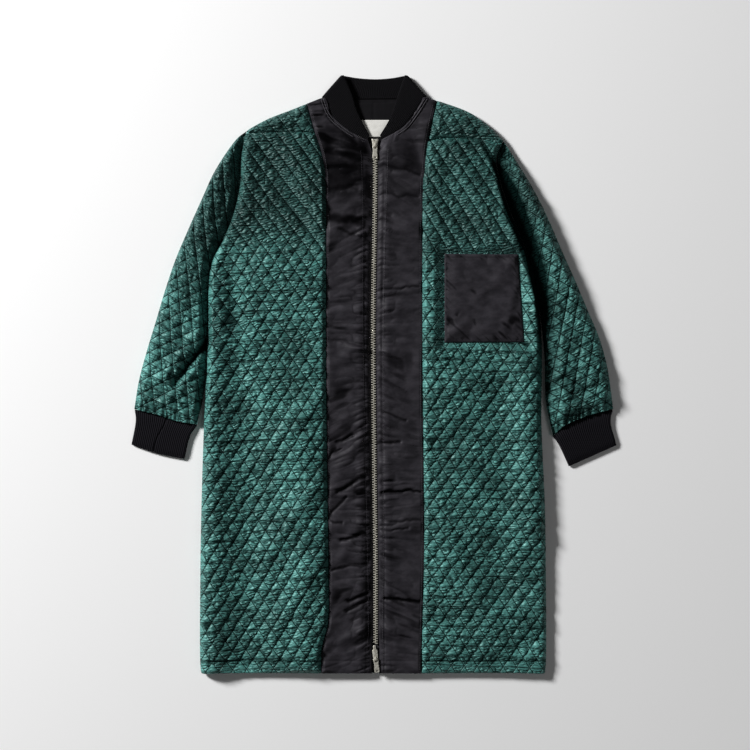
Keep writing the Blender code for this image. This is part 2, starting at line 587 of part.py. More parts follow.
def cuffs():
    """Two rib-knit cuffs, with the ribs raised over their upper face."""
    rows = (
        ("left", LEFT_CUFF_OUT, LEFT_CUFF_HEM, LEFT_CUFF_IN, LEFT_CUFF_SEAM),
        ("right", RIGHT_CUFF_OUT, RIGHT_CUFF_HEM, RIGHT_CUFF_IN, RIGHT_CUFF_SEAM))
    wall, hollow, reach = CUFF_WALL, CUFF_HOLLOW, 4.0
    middle = wall + hollow / 2
    for name, out, hem, inner, seam in rows:
        count = 2 * round(math.dist(hem[0], hem[-1]) / RIB_PITCH) + 1
        lower = np.array([0.0, -1.5 * SEAM_GAP])
        near = resample(end_path(smooth_path(seam, CUFF_STEP), step=CUFF_STEP) + lower, count)
        far = resample(smooth_path(hem, 8.0), count)
        edge_a, edge_b = resample(smooth_path(out), 5), resample(smooth_path(inner), 5)
        bulge_a = edge_a[2] - (edge_a[0] + edge_a[-1]) / 2
        bulge_b = edge_b[2] - (edge_b[0] + edge_b[-1]) / 2
        share = np.linspace(0, 1, count)[:, None]
        half_way = (near + far) / 2 + bulge_a * (1 - share) ** 3 + bulge_b * share ** 3
        stations = [near, half_way, far]
        width = count - 1
        across = np.arange(count)
        from_fold = np.minimum(across, width - across) * RIB_PITCH / 2
        rib = np.where(across % 2 == 1, RIB_RISE, 0.0) * np.clip(from_fold / 3.0, 0, 1)
        top_z = middle + middle * rounded(from_fold, reach) + rib - RIB_RISE / 2
        top_z[[0, -1]] = middle
        cloth = Cloth()
        pick = [0, 1, 2] + list(range(6, width - 5, 8)) + [width - 2, width - 1, width]
        low_z = middle * (1 - rounded(from_fold, reach * 0.8))[pick]
        in_pick = [1] + list(range(4, width - 3, 8)) + [width - 1]
        in_half = hollow / 2 * rounded(from_fold[in_pick] - from_fold[1], 4.0)
        grids = []
        for station in stations:
            top = np.column_stack([station, top_z])
            low = np.column_stack([station[pick], low_z])
            in_top = np.column_stack([station[in_pick], middle + in_half])
            in_low = np.column_stack([station[in_pick], middle - in_half])
            grids.append((top, low, in_top, in_low))
        for before, after in zip(grids, grids[1:]):
            for first, second in zip(before, after):
                cloth.strip(first, second)
        for top, low, in_top, in_low in (grids[0], grids[-1]):
            cloth.strip(top, in_top)
            cloth.strip(low, in_low)
        cloth.finish("cuff_" + name, KNIT_LOOK)


# ---------------------------------------------------------------- collar
def collar():
    """A rib-knit strip: one front part, round the side fold, the back, and the other front."""
    ribs = 34
    back_count = 13
    half = COLLAR_WALL / 2
    front_z, back_z = 10.2, half
    seams, tops, normals, raised = [], [], [], []

    def station(seam, top, normal, rib, z):
        seams.append((*seam, z[0]))
        tops.append((*top, z[1]))
        normals.append(normal)
        raised.append(rib)

    def front(neck, top_line, order):
        seam = resample(smooth_path(neck, 6.0), 2 * ribs + 1)
        top = resample(smooth_path(top_line, 6.0), 2 * ribs + 1)
        for k in order:
            rib = RIB_RISE if k % 2 else 0.0
            lift = 2.6 * math.sin(math.pi * min(k / (2 * ribs), 0.5))
            station(seam[k], top[k], (0, 0, 1), rib, (front_z, front_z + lift * (1 - k / 90)))

    front(LEFT_NECK_SEAM, LEFT_COLLAR_TOP, range(2 * ribs + 1))
    turn_z = (front_z + back_z) / 2
    out = np.array([-2.4, 0.8])
    station(LEFT_NECK_SEAM[-1] + out, LEFT_COLLAR_TOP[-1] + out, (-1, 0, 0), 0.0,
            (turn_z, turn_z))
    seam = resample(smooth_path(NECKLINE, 10.0), back_count)
    top = resample(smooth_path(BACK_COLLAR_TOP, 10.0), back_count)
    for s, t in zip(seam, top):
        station(s, t, (0, 0, -1), 0.0, (back_z, back_z))
    out[0] = 2.4
    station(RIGHT_NECK_SEAM[-1] + out, RIGHT_COLLAR_TOP[-1] + out, (1, 0, 0), 0.0,
            (turn_z, turn_z))
    front(RIGHT_NECK_SEAM, RIGHT_COLLAR_TOP, range(2 * ribs, -1, -1))

    seams, tops, normals = (np.array(v, float) for v in (seams, tops, normals))
    ribbed = np.array(raised)[:, None]
    reach = tops - seams
    reach[:, 2] = 0
    seams = seams + reach / np.linalg.norm(reach, axis=1)[:, None] * SEAM_GAP
    middle = (seams + tops) / 2
    crest = half - 0.3 + ribbed
    section = [seams + normals * crest, middle + normals * crest, tops + normals * (crest - 0.4),
               tops - normals * half, seams - normals * half]
    cloth = Cloth()
    for first, second in zip(section, section[1:] + section[:1]):
        cloth.add(np.vstack([first, second]),
                  [(k, k + 1, len(first) + k + 1, len(first) + k) for k in range(len(first) - 1)])
    for end in (0, -1):
        cloth.add([s[end] for s in section], [tuple(range(len(section)))])
    cloth.finish("collar", KNIT_LOOK)


# ---------------------------------------------------------------- zip
def zip_halves():
    """Each tape with its row of teeth as one plain bead along the edge."""
    ends = (TOP_HINGE[1] - 4.6, BOTTOM_HINGE[1] + 27.5)
    middle = smooth_path(ZIP_LINE, 60.0)
    ys = np.linspace(ends[0], ends[1], 24)
    xs = np.interp(ys, middle[::-1, 1], middle[::-1, 0])
    profile = ((0.25, TAPE_LOW), (0.25, TEETH_TOP), (TEETH_HALF, TEETH_TOP),
               (TEETH_HALF, TAPE_LOW + TAPE_WALL), (14.0, TAPE_LOW + TAPE_WALL), (14.0, TAPE_LOW))
    for name, sign in (("left", -1), ("right", 1)):
        lines = [np.column_stack([xs + sign * off, ys, np.full(len(ys), z)]) for off, z in profile]
        cloth = Cloth()
        for first, second in zip(lines, lines[1:] + lines[:1]):
            cloth.strip(first, second)
        for end in (0, -1):
            cloth.add([line[end] for line in lines], [(0, 1, 2, 3), (0, 3, 4, 5)])
        cloth.finish("zip_" + name, TAPE_LOOK)


def prism(name, profile, low, high, axis="z"):
    """A solid from a convex or plain outline, carried from low to high along an axis."""
    mesh = bmesh.new()
    turn = {"z": lambda u, v, w: (u, v, w), "x": lambda u, v, w: (w, u, v)}[axis]
    base = [mesh.verts.new(np.array(turn(u, v, low)) * MM) for u, v in profile]
    top = [mesh.verts.new(np.array(turn(u, v, high)) * MM) for u, v in profile]
    mesh.faces.new(base)
    mesh.faces.new(top)
    for k in range(len(base)):
        nxt = (k + 1) % len(base)
        mesh.faces.new([base[k], base[nxt], top[nxt], top[k]])
    bmesh.ops.recalc_face_normals(mesh, faces=mesh.faces)
    data = bpy.data.meshes.new(name)
    mesh.to_mesh(data)
    mesh.free()
    return data


def with_tool(piece, data, operation):
    """Joins or cuts a piece with a hidden helper shape in the same place."""
    tool = bpy.data.objects.new("tool_for_" + data.name, data)
    bpy.context.scene.collection.objects.link(tool)
    tool.matrix_world = piece.matrix_world
    tool.hide_render = True
    tool.display_type = "WIRE"
    step = piece.modifiers.new(operation.lower(), "BOOLEAN")
    step.operation = operation
    step.object = tool
    step.solver = "EXACT"


def ring_of(radius, centre, count=12):
    """Points of a circle on the plan."""
    turns = [2 * math.pi * k / count for k in range(count)]
    return [(centre[0] + radius * math.cos(t), centre[1] + radius * math.sin(t)) for t in turns]


def sliders():
    """Two sliders with their bridges, and the pull tab that hangs on each bridge.

    Both are drawn with the hinge at the origin, then put in place.
    """
    top_z, low_z = SLIDER_TOP - HINGE_Z, SLIDER_LOW - HINGE_Z
    tail = 4.0
    rows = (("top", TOP_HINGE, 0.0, 13.2, 4.0), ("bottom", BOTTOM_HINGE, BOTTOM_TURN, 26.0, 0.5))
    for name, hinge, turn, head, droop in rows:
        outline_points = [(-3.6, -tail), (3.6, -tail), (4.6, 0.0), (5.2, head * 0.55),
                          (5.2, head * 0.8), (3.0, head), (0.0, head - 1.6), (-3.0, head),
                          (-5.2, head * 0.8), (-5.2, head * 0.55), (-4.6, 0.0)]
        data = prism("slider_" + name, outline_points, low_z, top_z)
        slider = place("slider_" + name, data, METAL_LOOK)
        slider.location = (hinge[0] * MM, hinge[1] * MM, HINGE_Z * MM)
        slider.rotation_euler = (0, 0, turn)
        bpy.context.view_layer.update()
        staple = [(-3.2, top_z - 0.5), (-3.2, 1.0), (-2.0, 2.5), (0.0, 2.9), (3.0, 2.7), (5.0, 1.0),
                  (5.6, top_z - 0.5), (3.9, top_z - 0.5), (3.6, 0.7), (2.4, 1.4), (-0.6, 1.5),
                  (-1.6, 0.8), (-1.6, top_z - 0.5)]
        bridge = prism("bridge_" + name, staple, -1.2, 1.2, "x")
        with_tool(slider, bridge, "UNION")

        half, thick = PULL_WIDTH / 2, PULL_THICK / 2
        plate = [(-half, 0.75), (-half, -4.0), (-half + 0.7, -8.0), (-half + 0.7, -13.0),
                 (-half, -18.0), (-half, -23.0), (-half + 1.6, -PULL_LENGTH)]
        plate = plate + [(-x, y) for x, y in plate[::-1]]
        pull = place("pull_" + name, prism("pull_" + name, plate, -thick, thick), METAL_LOOK)
        pull.location = slider.location
        pull.rotation_euler = (math.radians(droop), 0, turn)
        bpy.context.view_layer.update()
        window = [(-2.3, -0.75), (2.3, -0.75), (2.3, -5.4), (-2.3, -5.4)]
        with_tool(pull, prism("window_" + name, window, -3, 3), "DIFFERENCE")
        hole = ring_of(1.5, (0.0, -21.8))
        with_tool(pull, prism("hole_" + name, hole, -3, 3), "DIFFERENCE")


def clear_scene():
    """Removes what a new scene starts with."""
    for thing in list(bpy.data.objects):
        bpy.data.objects.remove(thing, do_unlink=True)


clear_scene()
body_pieces()
sleeves()
cuffs()
collar()
zip_halves()
sliders()
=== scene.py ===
"""The looks of a quilted bomber coat laid flat: satin, knit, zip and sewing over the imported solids.

Lengths are metres, +X is the picture's right, +Y runs from the hem to the collar, +Z is up.
"""
import math

import bmesh
import bpy
import numpy as np
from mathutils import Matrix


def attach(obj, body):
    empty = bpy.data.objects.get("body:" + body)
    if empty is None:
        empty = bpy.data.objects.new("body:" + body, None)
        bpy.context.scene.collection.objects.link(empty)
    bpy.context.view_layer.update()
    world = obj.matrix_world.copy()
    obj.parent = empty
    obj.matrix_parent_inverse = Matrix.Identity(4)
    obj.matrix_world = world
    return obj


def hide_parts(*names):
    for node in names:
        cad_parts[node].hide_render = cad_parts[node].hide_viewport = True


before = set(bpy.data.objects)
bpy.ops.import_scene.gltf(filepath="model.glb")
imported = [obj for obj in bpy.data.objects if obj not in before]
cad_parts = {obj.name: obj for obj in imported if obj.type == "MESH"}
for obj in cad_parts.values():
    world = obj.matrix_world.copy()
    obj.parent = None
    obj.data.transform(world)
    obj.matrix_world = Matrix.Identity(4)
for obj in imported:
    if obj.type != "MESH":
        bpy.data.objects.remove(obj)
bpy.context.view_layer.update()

# ---------------------------------------------------------------- back
# One panel of green satin, quilted to its wadding. It lies on the floor under everything
# else, so only its rolled edge shows, with the fronts sewn to it at both sides and the hem.

HEM_Y = -0.563
LEFT_SIDE = ((-0.240, 0.457), (-0.249, 0.413), (-0.252, 0.355), (-0.265, 0.299), (-0.284, 0.252),
             (-0.303, 0.216), (-0.311, 0.170), (-0.312, 0.064), (-0.317, -0.030), (-0.321, -0.120),
             (-0.325, -0.256), (-0.327, -0.380), (-0.327, -0.546), (-0.318, HEM_Y))
RIGHT_SIDE = ((0.243, 0.439), (0.230, 0.397), (0.250, 0.322), (0.281, 0.246), (0.302, 0.175),
              (0.312, 0.113), (0.316, 0.034), (0.315, -0.077), (0.317, -0.143), (0.322, -0.256),
              (0.3235, -0.380), (0.3235, -0.546), (0.314, HEM_Y))
LEFT_SHOULDER = ((-0.094, 0.520), (-0.126, 0.5085), (-0.158, 0.496), (-0.197, 0.481),
                 (-0.226, 0.466), (-0.240, 0.457))
RIGHT_SHOULDER = ((0.095, 0.521), (0.126, 0.512), (0.171, 0.496), (0.197, 0.481), (0.222, 0.461),
                  (0.243, 0.439))
NECKLINE = ((-0.094, 0.520), (-0.050, 0.512), (0.0, 0.5095), (0.050, 0.512), (0.095, 0.521))
BACK_ROWS, BACK_SHOULDER_ROWS, BACK_COLUMNS = 120, 24, 60
# Height of the back's rim and of its middle
BACK_RIM, BACK_TOP = 0.0024, 0.005
SEAM_GAP = 0.0003
# The quilting's triangles: base and height, then the rows' turn and one crossing of the lines
TRIANGLE_BASE, TRIANGLE_ROW = 0.0250, 0.0186
QUILT_TURN = {"left": math.radians(2.5), "right": math.radians(-1.5)}
QUILT_CROSSING = {"left": (-0.2478, -0.3694), "right": (0.1824, -0.0291)}
# How far the stitch lines' groove, darkened with painted shade, reaches to either side
GROOVE = 0.0013
# The colour of painted shade, then the satin's darker and fuller tones, which vary at random
GREEN_PAINTED_SHADE = (0.0003, 0.0065, 0.0058, 1)
GREEN_DEEP = (0.037, 0.140, 0.125, 1)
GREEN_FULL = (0.086, 0.290, 0.262, 1)


def run_of(line):
    """How far each place of a line is from its first one, along it."""
    return np.concatenate([[0], np.cumsum(np.linalg.norm(np.diff(line, axis=0), axis=1))])


def soft_line(points, count):
    """A smooth line through points, as count places equally far apart.

    Each stretch is a cubic that leans, at both ends, like the chord between its neighbours.
    """
    rows = np.array(points, float)
    rows = np.vstack([2 * rows[0] - rows[1], rows, 2 * rows[-1] - rows[-2]])
    t = np.linspace(0, len(points) - 1, 40 * len(points))
    i = np.minimum(t.astype(int), len(points) - 2)
    t = (t - i)[:, None]
    a, b, c, d = rows[i], rows[i + 1], rows[i + 2], rows[i + 3]
    bend = (2 * a - 5 * b + 4 * c - d) * t ** 2 + (3 * b - a - 3 * c + d) * t ** 3
    fine = b + 0.5 * ((c - a) * t + bend)
    run = run_of(fine)
    at = np.linspace(0, run[-1], count)
    return np.column_stack([np.interp(at, run, column) for column in fine.T])


def span(left, right, low, high):
    """A grid of places between four lines that meet at their ends (a Coons patch).

    Going across blends left into right, going up blends low into high, and the blend of the
    four corners, which both contain, is taken off once.
    """
    u = np.linspace(0, 1, len(low))[None, :, None]
    v = np.linspace(0, 1, len(left))[:, None, None]
    across = (1 - u) * left[:, None] + u * right[:, None]
    up = (1 - v) * low[None] + v * high[None]
    bottom, top = (1 - u) * low[0] + u * low[-1], (1 - u) * high[0] + u * high[-1]
    return across + up - (1 - v) * bottom - v * top


def grid_runs(plan):
    """How far each place of a grid is along its row, and how far up its column."""
    wide = np.linalg.norm(np.diff(plan, axis=1), axis=2)
    tall = np.linalg.norm(np.diff(plan, axis=0), axis=2)
    return (np.pad(np.cumsum(wide, axis=1), ((0, 0), (1, 0))),
            np.pad(np.cumsum(tall, axis=0), ((1, 0), (0, 0))))


def from_edge(plan):
    """How far each place of a grid is from its nearest side."""
    x, y = grid_runs(plan)
    return np.minimum(np.minimum(x, x[:, -1:] - x), np.minimum(y, y[-1:] - y))


def rolled(distance, reach):
    """A quarter circle from 0 at the edge to 1 where the reach ends."""
    t = np.clip(distance / reach, 0, 1)
    return np.sqrt(1 - (1 - t) ** 2)


def lattice(x, y, turn, crossing):
    """Cloth coordinates of triangle quilting: along a row, and up from the row at the crossing.

    The turned distances are pushed a little to and fro, as stitching on puffed cloth drifts.
    """
    dx, dy = x - crossing[0], y - crossing[1]
    along = dx * math.cos(turn) + dy * math.sin(turn)
    up = dy * math.cos(turn) - dx * math.sin(turn)
    along = along + 0.0016 * np.sin(9 * dx + 14 * dy) + 0.0009 * np.sin(31 * dy - 17 * dx)
    up = up + 0.0016 * np.sin(12 * dx - 8 * dy + 1) + 0.0008 * np.sin(37 * dx + 9 * dy)
    return along, up


def puffs(along, up, rows, slash, backslash, puff):
    """Height of the quilting. Each family of stitch lines cuts the cloth into arched strips.

    An arch is a power of the share from one line times the share from the next. A low dome is
    added on each triangle: a power of the product of the shares from its three sides. The
    second result tells the triangles that stand on their base from those on their tip.
    """
    p_row = up / TRIANGLE_ROW
    p_slash = along / TRIANGLE_BASE - p_row / 2
    p_back = along / TRIANGLE_BASE + p_row / 2
    share = np.stack([p_row % 1, p_slash % 1, -p_back % 1])
    upright = share.sum(axis=0) < 1.5
    share = np.where(upright, share, 1 - share)
    arch = (4 * share * (1 - share)) ** 0.6
    triangle = (27 * np.prod(np.clip(share, 0, 1), axis=0)) ** 0.30
    height = puff * triangle + rows * arch[0] + slash * arch[1] + backslash * arch[2]
    return height, upright


def smooth_step(low, high, value):
    """0 below low, 1 above high, and a smooth run between."""
    t = np.clip((value - low) / (high - low), 0, 1)
    return t * t * (3 - 2 * t)


def soft_noise(x, y, wide, tall, seed):
    """Seeded noise between -1 and 1: random heights on a lattice of cells, blended smoothly."""
    heights = np.random.default_rng(seed).uniform(-1, 1, (512, 512))
    u, v = x / wide + 200.3, y / tall + 200.7
    i, j = np.floor(u).astype(int), np.floor(v).astype(int)
    u, v = u - i, v - j
    u, v = u * u * (3 - 2 * u), v * v * (3 - 2 * v)
    i, j, ahead_i, ahead_j = i % 512, j % 512, (i + 1) % 512, (j + 1) % 512
    low = heights[i, j] * (1 - u) + heights[ahead_i, j] * u
    high = heights[i, ahead_j] * (1 - u) + heights[ahead_i, ahead_j] * u
    return low * (1 - v) + high * v


def crumple(x, y, wide, tall, seed):
    """Small puckers: pillows that meet in sharp creases, where the noise changes its sign."""
    return np.abs(soft_noise(x, y, wide, tall, seed))


def quilting(along, up, rows, slash, backslash, puff, pucker):
    """Height and creases of puffs with two sizes of puckers, longer along the rows than across.

    The triangles that stand on their base have them only low down. Shade is painted in the
    creases where they meet. Where the rows draw in, short tucks lie just below their
    stitching, with painted shade in them.
    """
    height, upright = puffs(along, up, rows, slash, backslash, puff)
    above_row = up / TRIANGLE_ROW % 1
    bend = 0.0016 * np.sin(2 * math.pi * along / TRIANGLE_BASE)
    bend = bend + 0.0012 * np.sin(190 * along + 90 * up)
    coarse = crumple(along + 0.3 * up, up + bend, 0.0150, 0.0058, 1)
    fine = crumple(along - 0.3 * up, up - bend, 0.0100, 0.0043, 2)
    calm = np.where(upright, 0.20 + 0.70 * (1 - above_row) ** 2, 1.0)
    height = height + pucker * (0.75 * coarse ** 0.8 + 0.25 * fine ** 0.8) * calm
    crease_shade = np.maximum(creased(coarse), 0.5 * creased(fine)) * calm
    below = (1 - above_row) * TRIANGLE_ROW + 0.0010 * soft_noise(along, up, 0.009, 0.013, 4)
    tuck = np.exp(-((below - 0.0024) / 0.0013) ** 2)
    tuck = tuck * smooth_step(-0.15, 0.30, soft_noise(along, up, 0.0100, 0.0125, 3)) * rows / 0.0010
    return height - 0.0007 * tuck, np.maximum(crease_shade, np.clip(tuck, 0, 1))


def creased(pillow):
    """1 where a pillow is down in its crease, 0 a little way up its side."""
    return np.clip(1 - pillow / 0.16, 0, 1)


def make_piece(name, points, faces, cloth=None, marks=None):
    """A smooth-shaded object of points and faces, with its cloth coordinates as a UV map.

    Its marks, from 0 to 1 at each point, become attributes that its material can read.
    """
    mesh = bpy.data.meshes.new(name)
    mesh.from_pydata(points, [], faces)
    for key, values in (marks or {}).items():
        mark = mesh.attributes.new(key, "FLOAT", "POINT")
        mark.data.foreach_set("value", values.astype(np.float32))
    if cloth is not None:
        corner = np.zeros(len(mesh.loops), np.int32)
        mesh.loops.foreach_get("vertex_index", corner)
        place = mesh.uv_layers.new(name="cloth")
        place.data.foreach_set("uv", cloth[corner].astype(np.float32).ravel())
    mesh.update()
    mesh.shade_smooth()
    mesh.set_sharp_from_angle(angle=math.radians(75))
    piece = bpy.data.objects.new(name, mesh)
    bpy.context.scene.collection.objects.link(piece)
    return piece


def grid_faces(rows, columns):
    """Quads of a grid whose points are numbered row by row."""
    first = (np.arange(rows - 1)[:, None] * columns + np.arange(columns - 1)).ravel()
    return np.column_stack([first, first + 1, first + columns + 1, first + columns])


def laid_sheet(name, plan, top, low, cloth=None, marks=None):
    """A closed sheet: its top as a grid, a plain underside, and a wall between.

    low is the underside's height, as one number or as a grid whose rim is used.
    """
    rows, columns = top.shape
    points = np.dstack([plan, top]).reshape(-1, 3)
    index = np.arange(rows * columns).reshape(rows, columns)
    rim = np.concatenate([index[0], index[1:, -1], index[-1, -2::-1], index[-2:0:-1, 0]])
    under = points[rim].copy()
    under[:, 2] = np.broadcast_to(low, top.shape).ravel()[rim]
    base = rows * columns
    ahead = np.roll(np.arange(len(rim)), -1)
    wall = np.column_stack([rim, base + np.arange(len(rim)), base + ahead, rim[ahead]])
    low_of = np.zeros(rows * columns, int)
    low_of[rim] = base + np.arange(len(rim))
    left, right = low_of[index[:, 0]], low_of[index[:, -1]]
    floor = np.column_stack([left[1:-2], left[2:-1], right[2:-1], right[1:-2]])
    ends = [(left[1], right[1], *low_of[index[0]][::-1]), (*low_of[index[-1]], right[-2], left[-2])]
    faces = np.vstack([grid_faces(rows, columns), wall, floor])
    turned = np.cross(plan[0, -1] - plan[0, 0], plan[-1, 0] - plan[0, 0]) < 0
    faces = [face[::-1] if turned else face for face in [*faces.tolist(), *ends]]
    if cloth is not None:
        flat = np.dstack(cloth).reshape(-1, 2)
        cloth = np.vstack([flat, flat[rim]])
    marks = {key: np.concatenate([values.ravel(), values.ravel()[rim]])
             for key, values in (marks or {}).items()}
    return make_piece(name, np.vstack([points, under]), faces, cloth, marks)


class Shade:
    """A socket of a material's nodes. + - * / between sockets and numbers add Math nodes."""

    def __init__(self, tree, socket=None):
        self.tree, self.socket = tree, socket

    def node(self, kind, settings=None, output=0, **inputs):
        """A node with its settings made first, then its inputs by number (i0) or by name."""
        made = self.tree.nodes.new(kind)
        for key, value in (settings or {}).items():
            setattr(made, key, value)
        for key, value in inputs.items():
            plain = key[1:].isdigit()
            self.feed(made.inputs[int(key[1:]) if plain else key.replace("_", " ")], value)
        return Shade(self.tree, made.outputs[output])

    def feed(self, socket, value):
        """Links a Shade to a socket, or gives the socket a plain value."""
        if isinstance(value, Shade):
            self.tree.links.new(value.socket, socket)
        else:
            socket.default_value = value

    def maths(self, operation, first, second=0.0):
        return self.node("ShaderNodeMath", {"operation": operation}, i0=first, i1=second)

    def __add__(self, other):
        return self.maths("ADD", self, other)

    def __sub__(self, other):
        return self.maths("SUBTRACT", self, other)

    def __rsub__(self, other):
        return self.maths("SUBTRACT", other, self)

    def __mul__(self, other):
        return self.maths("MULTIPLY", self, other)

    def __truediv__(self, other):
        return self.maths("DIVIDE", self, other)

    __radd__, __rmul__ = __add__, __mul__

    def near_line(self, period, width):
        """1 on every multiple of the period, falling smoothly to 0 a width away."""
        phase = self.maths("FRACT", self / period + 0.5)
        away = self.maths("ABSOLUTE", phase - 0.5) * period
        return self.fade(away, width, 0.0)

    def fade(self, value, low, high):
        """0 at low, 1 at high, with a smooth run between."""
        return self.node("ShaderNodeMapRange", {"interpolation_type": "SMOOTHSTEP"},
                         Value=value, From_Min=low, From_Max=high)

    def blend(self, share, first, second):
        """One colour going into another."""
        return self.node("ShaderNodeMix", {"data_type": "RGBA"}, output=2, i0=share, i6=first,
                         i7=second)

    def noise(self, place, stretch, detail=2.0, rough=0.5):
        """Smooth noise on a place whose axes are stretched, in cells a metre."""
        at = self.node("ShaderNodeVectorMath", {"operation": "MULTIPLY"}, i0=place, i1=stretch)
        return self.node("ShaderNodeTexNoise", Vector=at, Scale=1.0, Detail=detail,
                         Roughness=rough)

    def mark(self, name):
        """One of the marks that a mesh carries at its points."""
        return self.node("ShaderNodeAttribute", {"attribute_name": name}, output=2)

    def own_place(self):
        """The place on the object itself, in metres."""
        return self.node("ShaderNodeTexCoord", output=3)

    def cloth_place(self):
        """The cloth coordinates together, then the first and the second of them alone."""
        place = self.node("ShaderNodeUVMap", {"uv_map": "cloth"})
        first = self.node("ShaderNodeSeparateXYZ", i0=place)
        return place, first, Shade(self.tree, first.socket.node.outputs[1])


def finish(name, **constants):
    """A material with a Principled surface whose plain sockets are set, and its first Shade."""
    material = bpy.data.materials.new(name)
    material.use_nodes = True
    surface = material.node_tree.nodes["Principled BSDF"]
    for key, value in constants.items():
        surface.inputs[key.replace("_", " ")].default_value = value
    return material, surface, Shade(material.node_tree)


def connect_surface(surface, shade, colour=None, roughness=None, height=None, metallic=None):
    """Joins worked-out colour, roughness, height (in metres) and metal share to a surface."""
    for key, value in (("Base Color", colour), ("Roughness", roughness), ("Metallic", metallic)):
        if value is not None:
            shade.feed(surface.inputs[key], value)
    if height is not None:
        bump = shade.node("ShaderNodeBump", Strength=1.0, Distance=1.0, Height=height)
        shade.feed(surface.inputs["Normal"], bump)


def quilted_satin():
    """Green satin sewn down in triangles: three families of stitch lines, with fine gathers.

    The stitch lines are where the cloth coordinates meet a row or a slanted line. Gathers are
    noise drawn out along the rows. Shade is painted into the colour in the stitch lines, in the
    gathers' creases and where the mesh marks painted shade. Where the cloth is drawn tight,
    only the falling lines stay, and it is darkened with painted shade. The painted shade also
    loses its gloss: there the metallic share is high over a nearly black colour.
    """
    material, surface, shade = finish("quilted_satin", IOR=1.5, Specular_IOR_Level=0.50)
    place, along, up = shade.cloth_place()
    slant = up * (TRIANGLE_BASE / TRIANGLE_ROW / 2)
    lean = TRIANGLE_ROW / math.hypot(TRIANGLE_ROW, TRIANGLE_BASE / 2)
    row = up.near_line(TRIANGLE_ROW, GROOVE)
    slash = (along - slant).near_line(TRIANGLE_BASE, GROOVE / lean)
    back = (along + slant).near_line(TRIANGLE_BASE, GROOVE / lean)
    drawn = shade.mark("drawn")
    across = shade.maths("MAXIMUM", row * 0.75, slash) * (1.0 - drawn * 0.85)
    line = shade.maths("MAXIMUM", across, back)
    gathers = shade.maths("ABSOLUTE", shade.noise(place, (75, 190, 1), 0.0) - 0.5)
    small = shade.maths("ABSOLUTE", shade.noise(place, (130, 330, 1), 0.0) - 0.5)
    weave = shade.noise(place, (900, 2500, 1), 1.0)
    shares = [shade.maths("FRACT", value / TRIANGLE_BASE) for value in
              (up * (TRIANGLE_BASE / TRIANGLE_ROW), along - slant, (along + slant) * -1.0)]
    base_down = shade.maths("LESS_THAN", shares[0] + shares[1] + shares[2], 1.5)
    calm = 1.0 - base_down * 0.55 * (1.0 - drawn)
    height = (gathers * 0.0095 + small * 0.0026) * calm - line * 0.0012 + weave * 0.00002
    tone = shade.noise(place, (14, 18, 1), 2.0)
    painted_dark = shade.mark("painted_shade")
    # Painted shade: the gathers' creases and the places that the mesh marks
    crease_shade = shade.maths("MAXIMUM", shade.fade(gathers, 0.06, 0.0) * calm * 0.8, painted_dark)
    colour = shade.blend(shade.fade(tone, 0.3, 0.7), GREEN_DEEP, GREEN_FULL)
    # Painted shade on tight cloth, then in the creases and in the stitch lines
    colour = shade.blend(drawn * 0.60, colour, GREEN_PAINTED_SHADE)
    colour = shade.blend(crease_shade * 0.96, colour, GREEN_PAINTED_SHADE)
    colour = shade.blend(line * 0.85, colour, GREEN_PAINTED_SHADE)
    # Painted shade without gloss: a high metallic share over the nearly black colour
    shade_metal = shade.maths("MAXIMUM", crease_shade * 0.85, line * 0.5)
    connect_surface(surface, shade, colour, 0.45 + tone * 0.1 + painted_dark * 0.40, height, 0.1 + shade_metal)
    return material


quilt_look = quilted_satin()
left_line, right_line = (
    np.vstack([soft_line(outer, BACK_ROWS)[::-1], soft_line(over, BACK_SHOULDER_ROWS)[-2::-1]])
    for outer, over in ((LEFT_SIDE, LEFT_SHOULDER), (RIGHT_SIDE, RIGHT_SHOULDER)))
hem_line = np.linspace(left_line[0], right_line[0], BACK_COLUMNS)
plan = span(left_line, right_line, hem_line, soft_line(NECKLINE, BACK_COLUMNS))
edge = from_edge(plan)
cloth = lattice(plan[..., 0], plan[..., 1], 0.0, (0.0, 0.0))
top = BACK_RIM + (BACK_TOP - BACK_RIM) * rolled(edge, 0.006)
back = laid_sheet("quilted_back", plan, top, 0.0, cloth)
back.data.materials.append(quilt_look)
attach(back, "coat")
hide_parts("back")

# ---------------------------------------------------------------- fronts
# Two long panels of the same quilting, sewn to the bands and to the back. Lying flat, they
# keep soft folds, and the diagonal stitch lines pucker where the cloth pulls.

LEFT_BAND_EDGE = ((-0.126, 0.5085), (-0.111, 0.454), (-0.095, 0.400), (-0.090, 0.320),
                  (-0.090, 0.0), (-0.086, -0.300), (-0.0855, -0.380), (-0.0848, -0.435),
                  (-0.0870, -0.472), (-0.0935, -0.496), (-0.0985, -0.520), (-0.099, HEM_Y))
RIGHT_BAND_EDGE = ((0.117, 0.514), (0.101, 0.438), (0.095, 0.384), (0.091, 0.320), (0.091, 0.0),
                   (0.094, -0.300), (0.090, -0.490), (0.089, HEM_Y))
LEFT_SHOULDER_SEAM = ((-0.111, 0.454), (-0.150, 0.456), (-0.200, 0.454), (-0.235, 0.453))
RIGHT_SHOULDER_SEAM = ((0.101, 0.438), (0.130, 0.443), (0.170, 0.443), (0.205, 0.441),
                       (0.238, 0.434))
# Height of the underside, and the height over which the crests are pressed flatter
FRONT_LOW, FRONT_HIGH = 0.0055, 0.0250
# Thickness at the rim and inside it, then the fine grid's cells across and up
FRONT_EDGE, FRONT_WALL = 0.0024, 0.0065
FINE_ACROSS, FINE_UP = 0.0020, 0.00145
# Places of an edge's line before a panel takes its own rows from it
EDGE_PLACES = 900
# How far in an edge is rolled, and how much higher it starts beside the band and the shoulder
EDGE_ROLL, EDGE_LIFT = 0.007, 0.0026
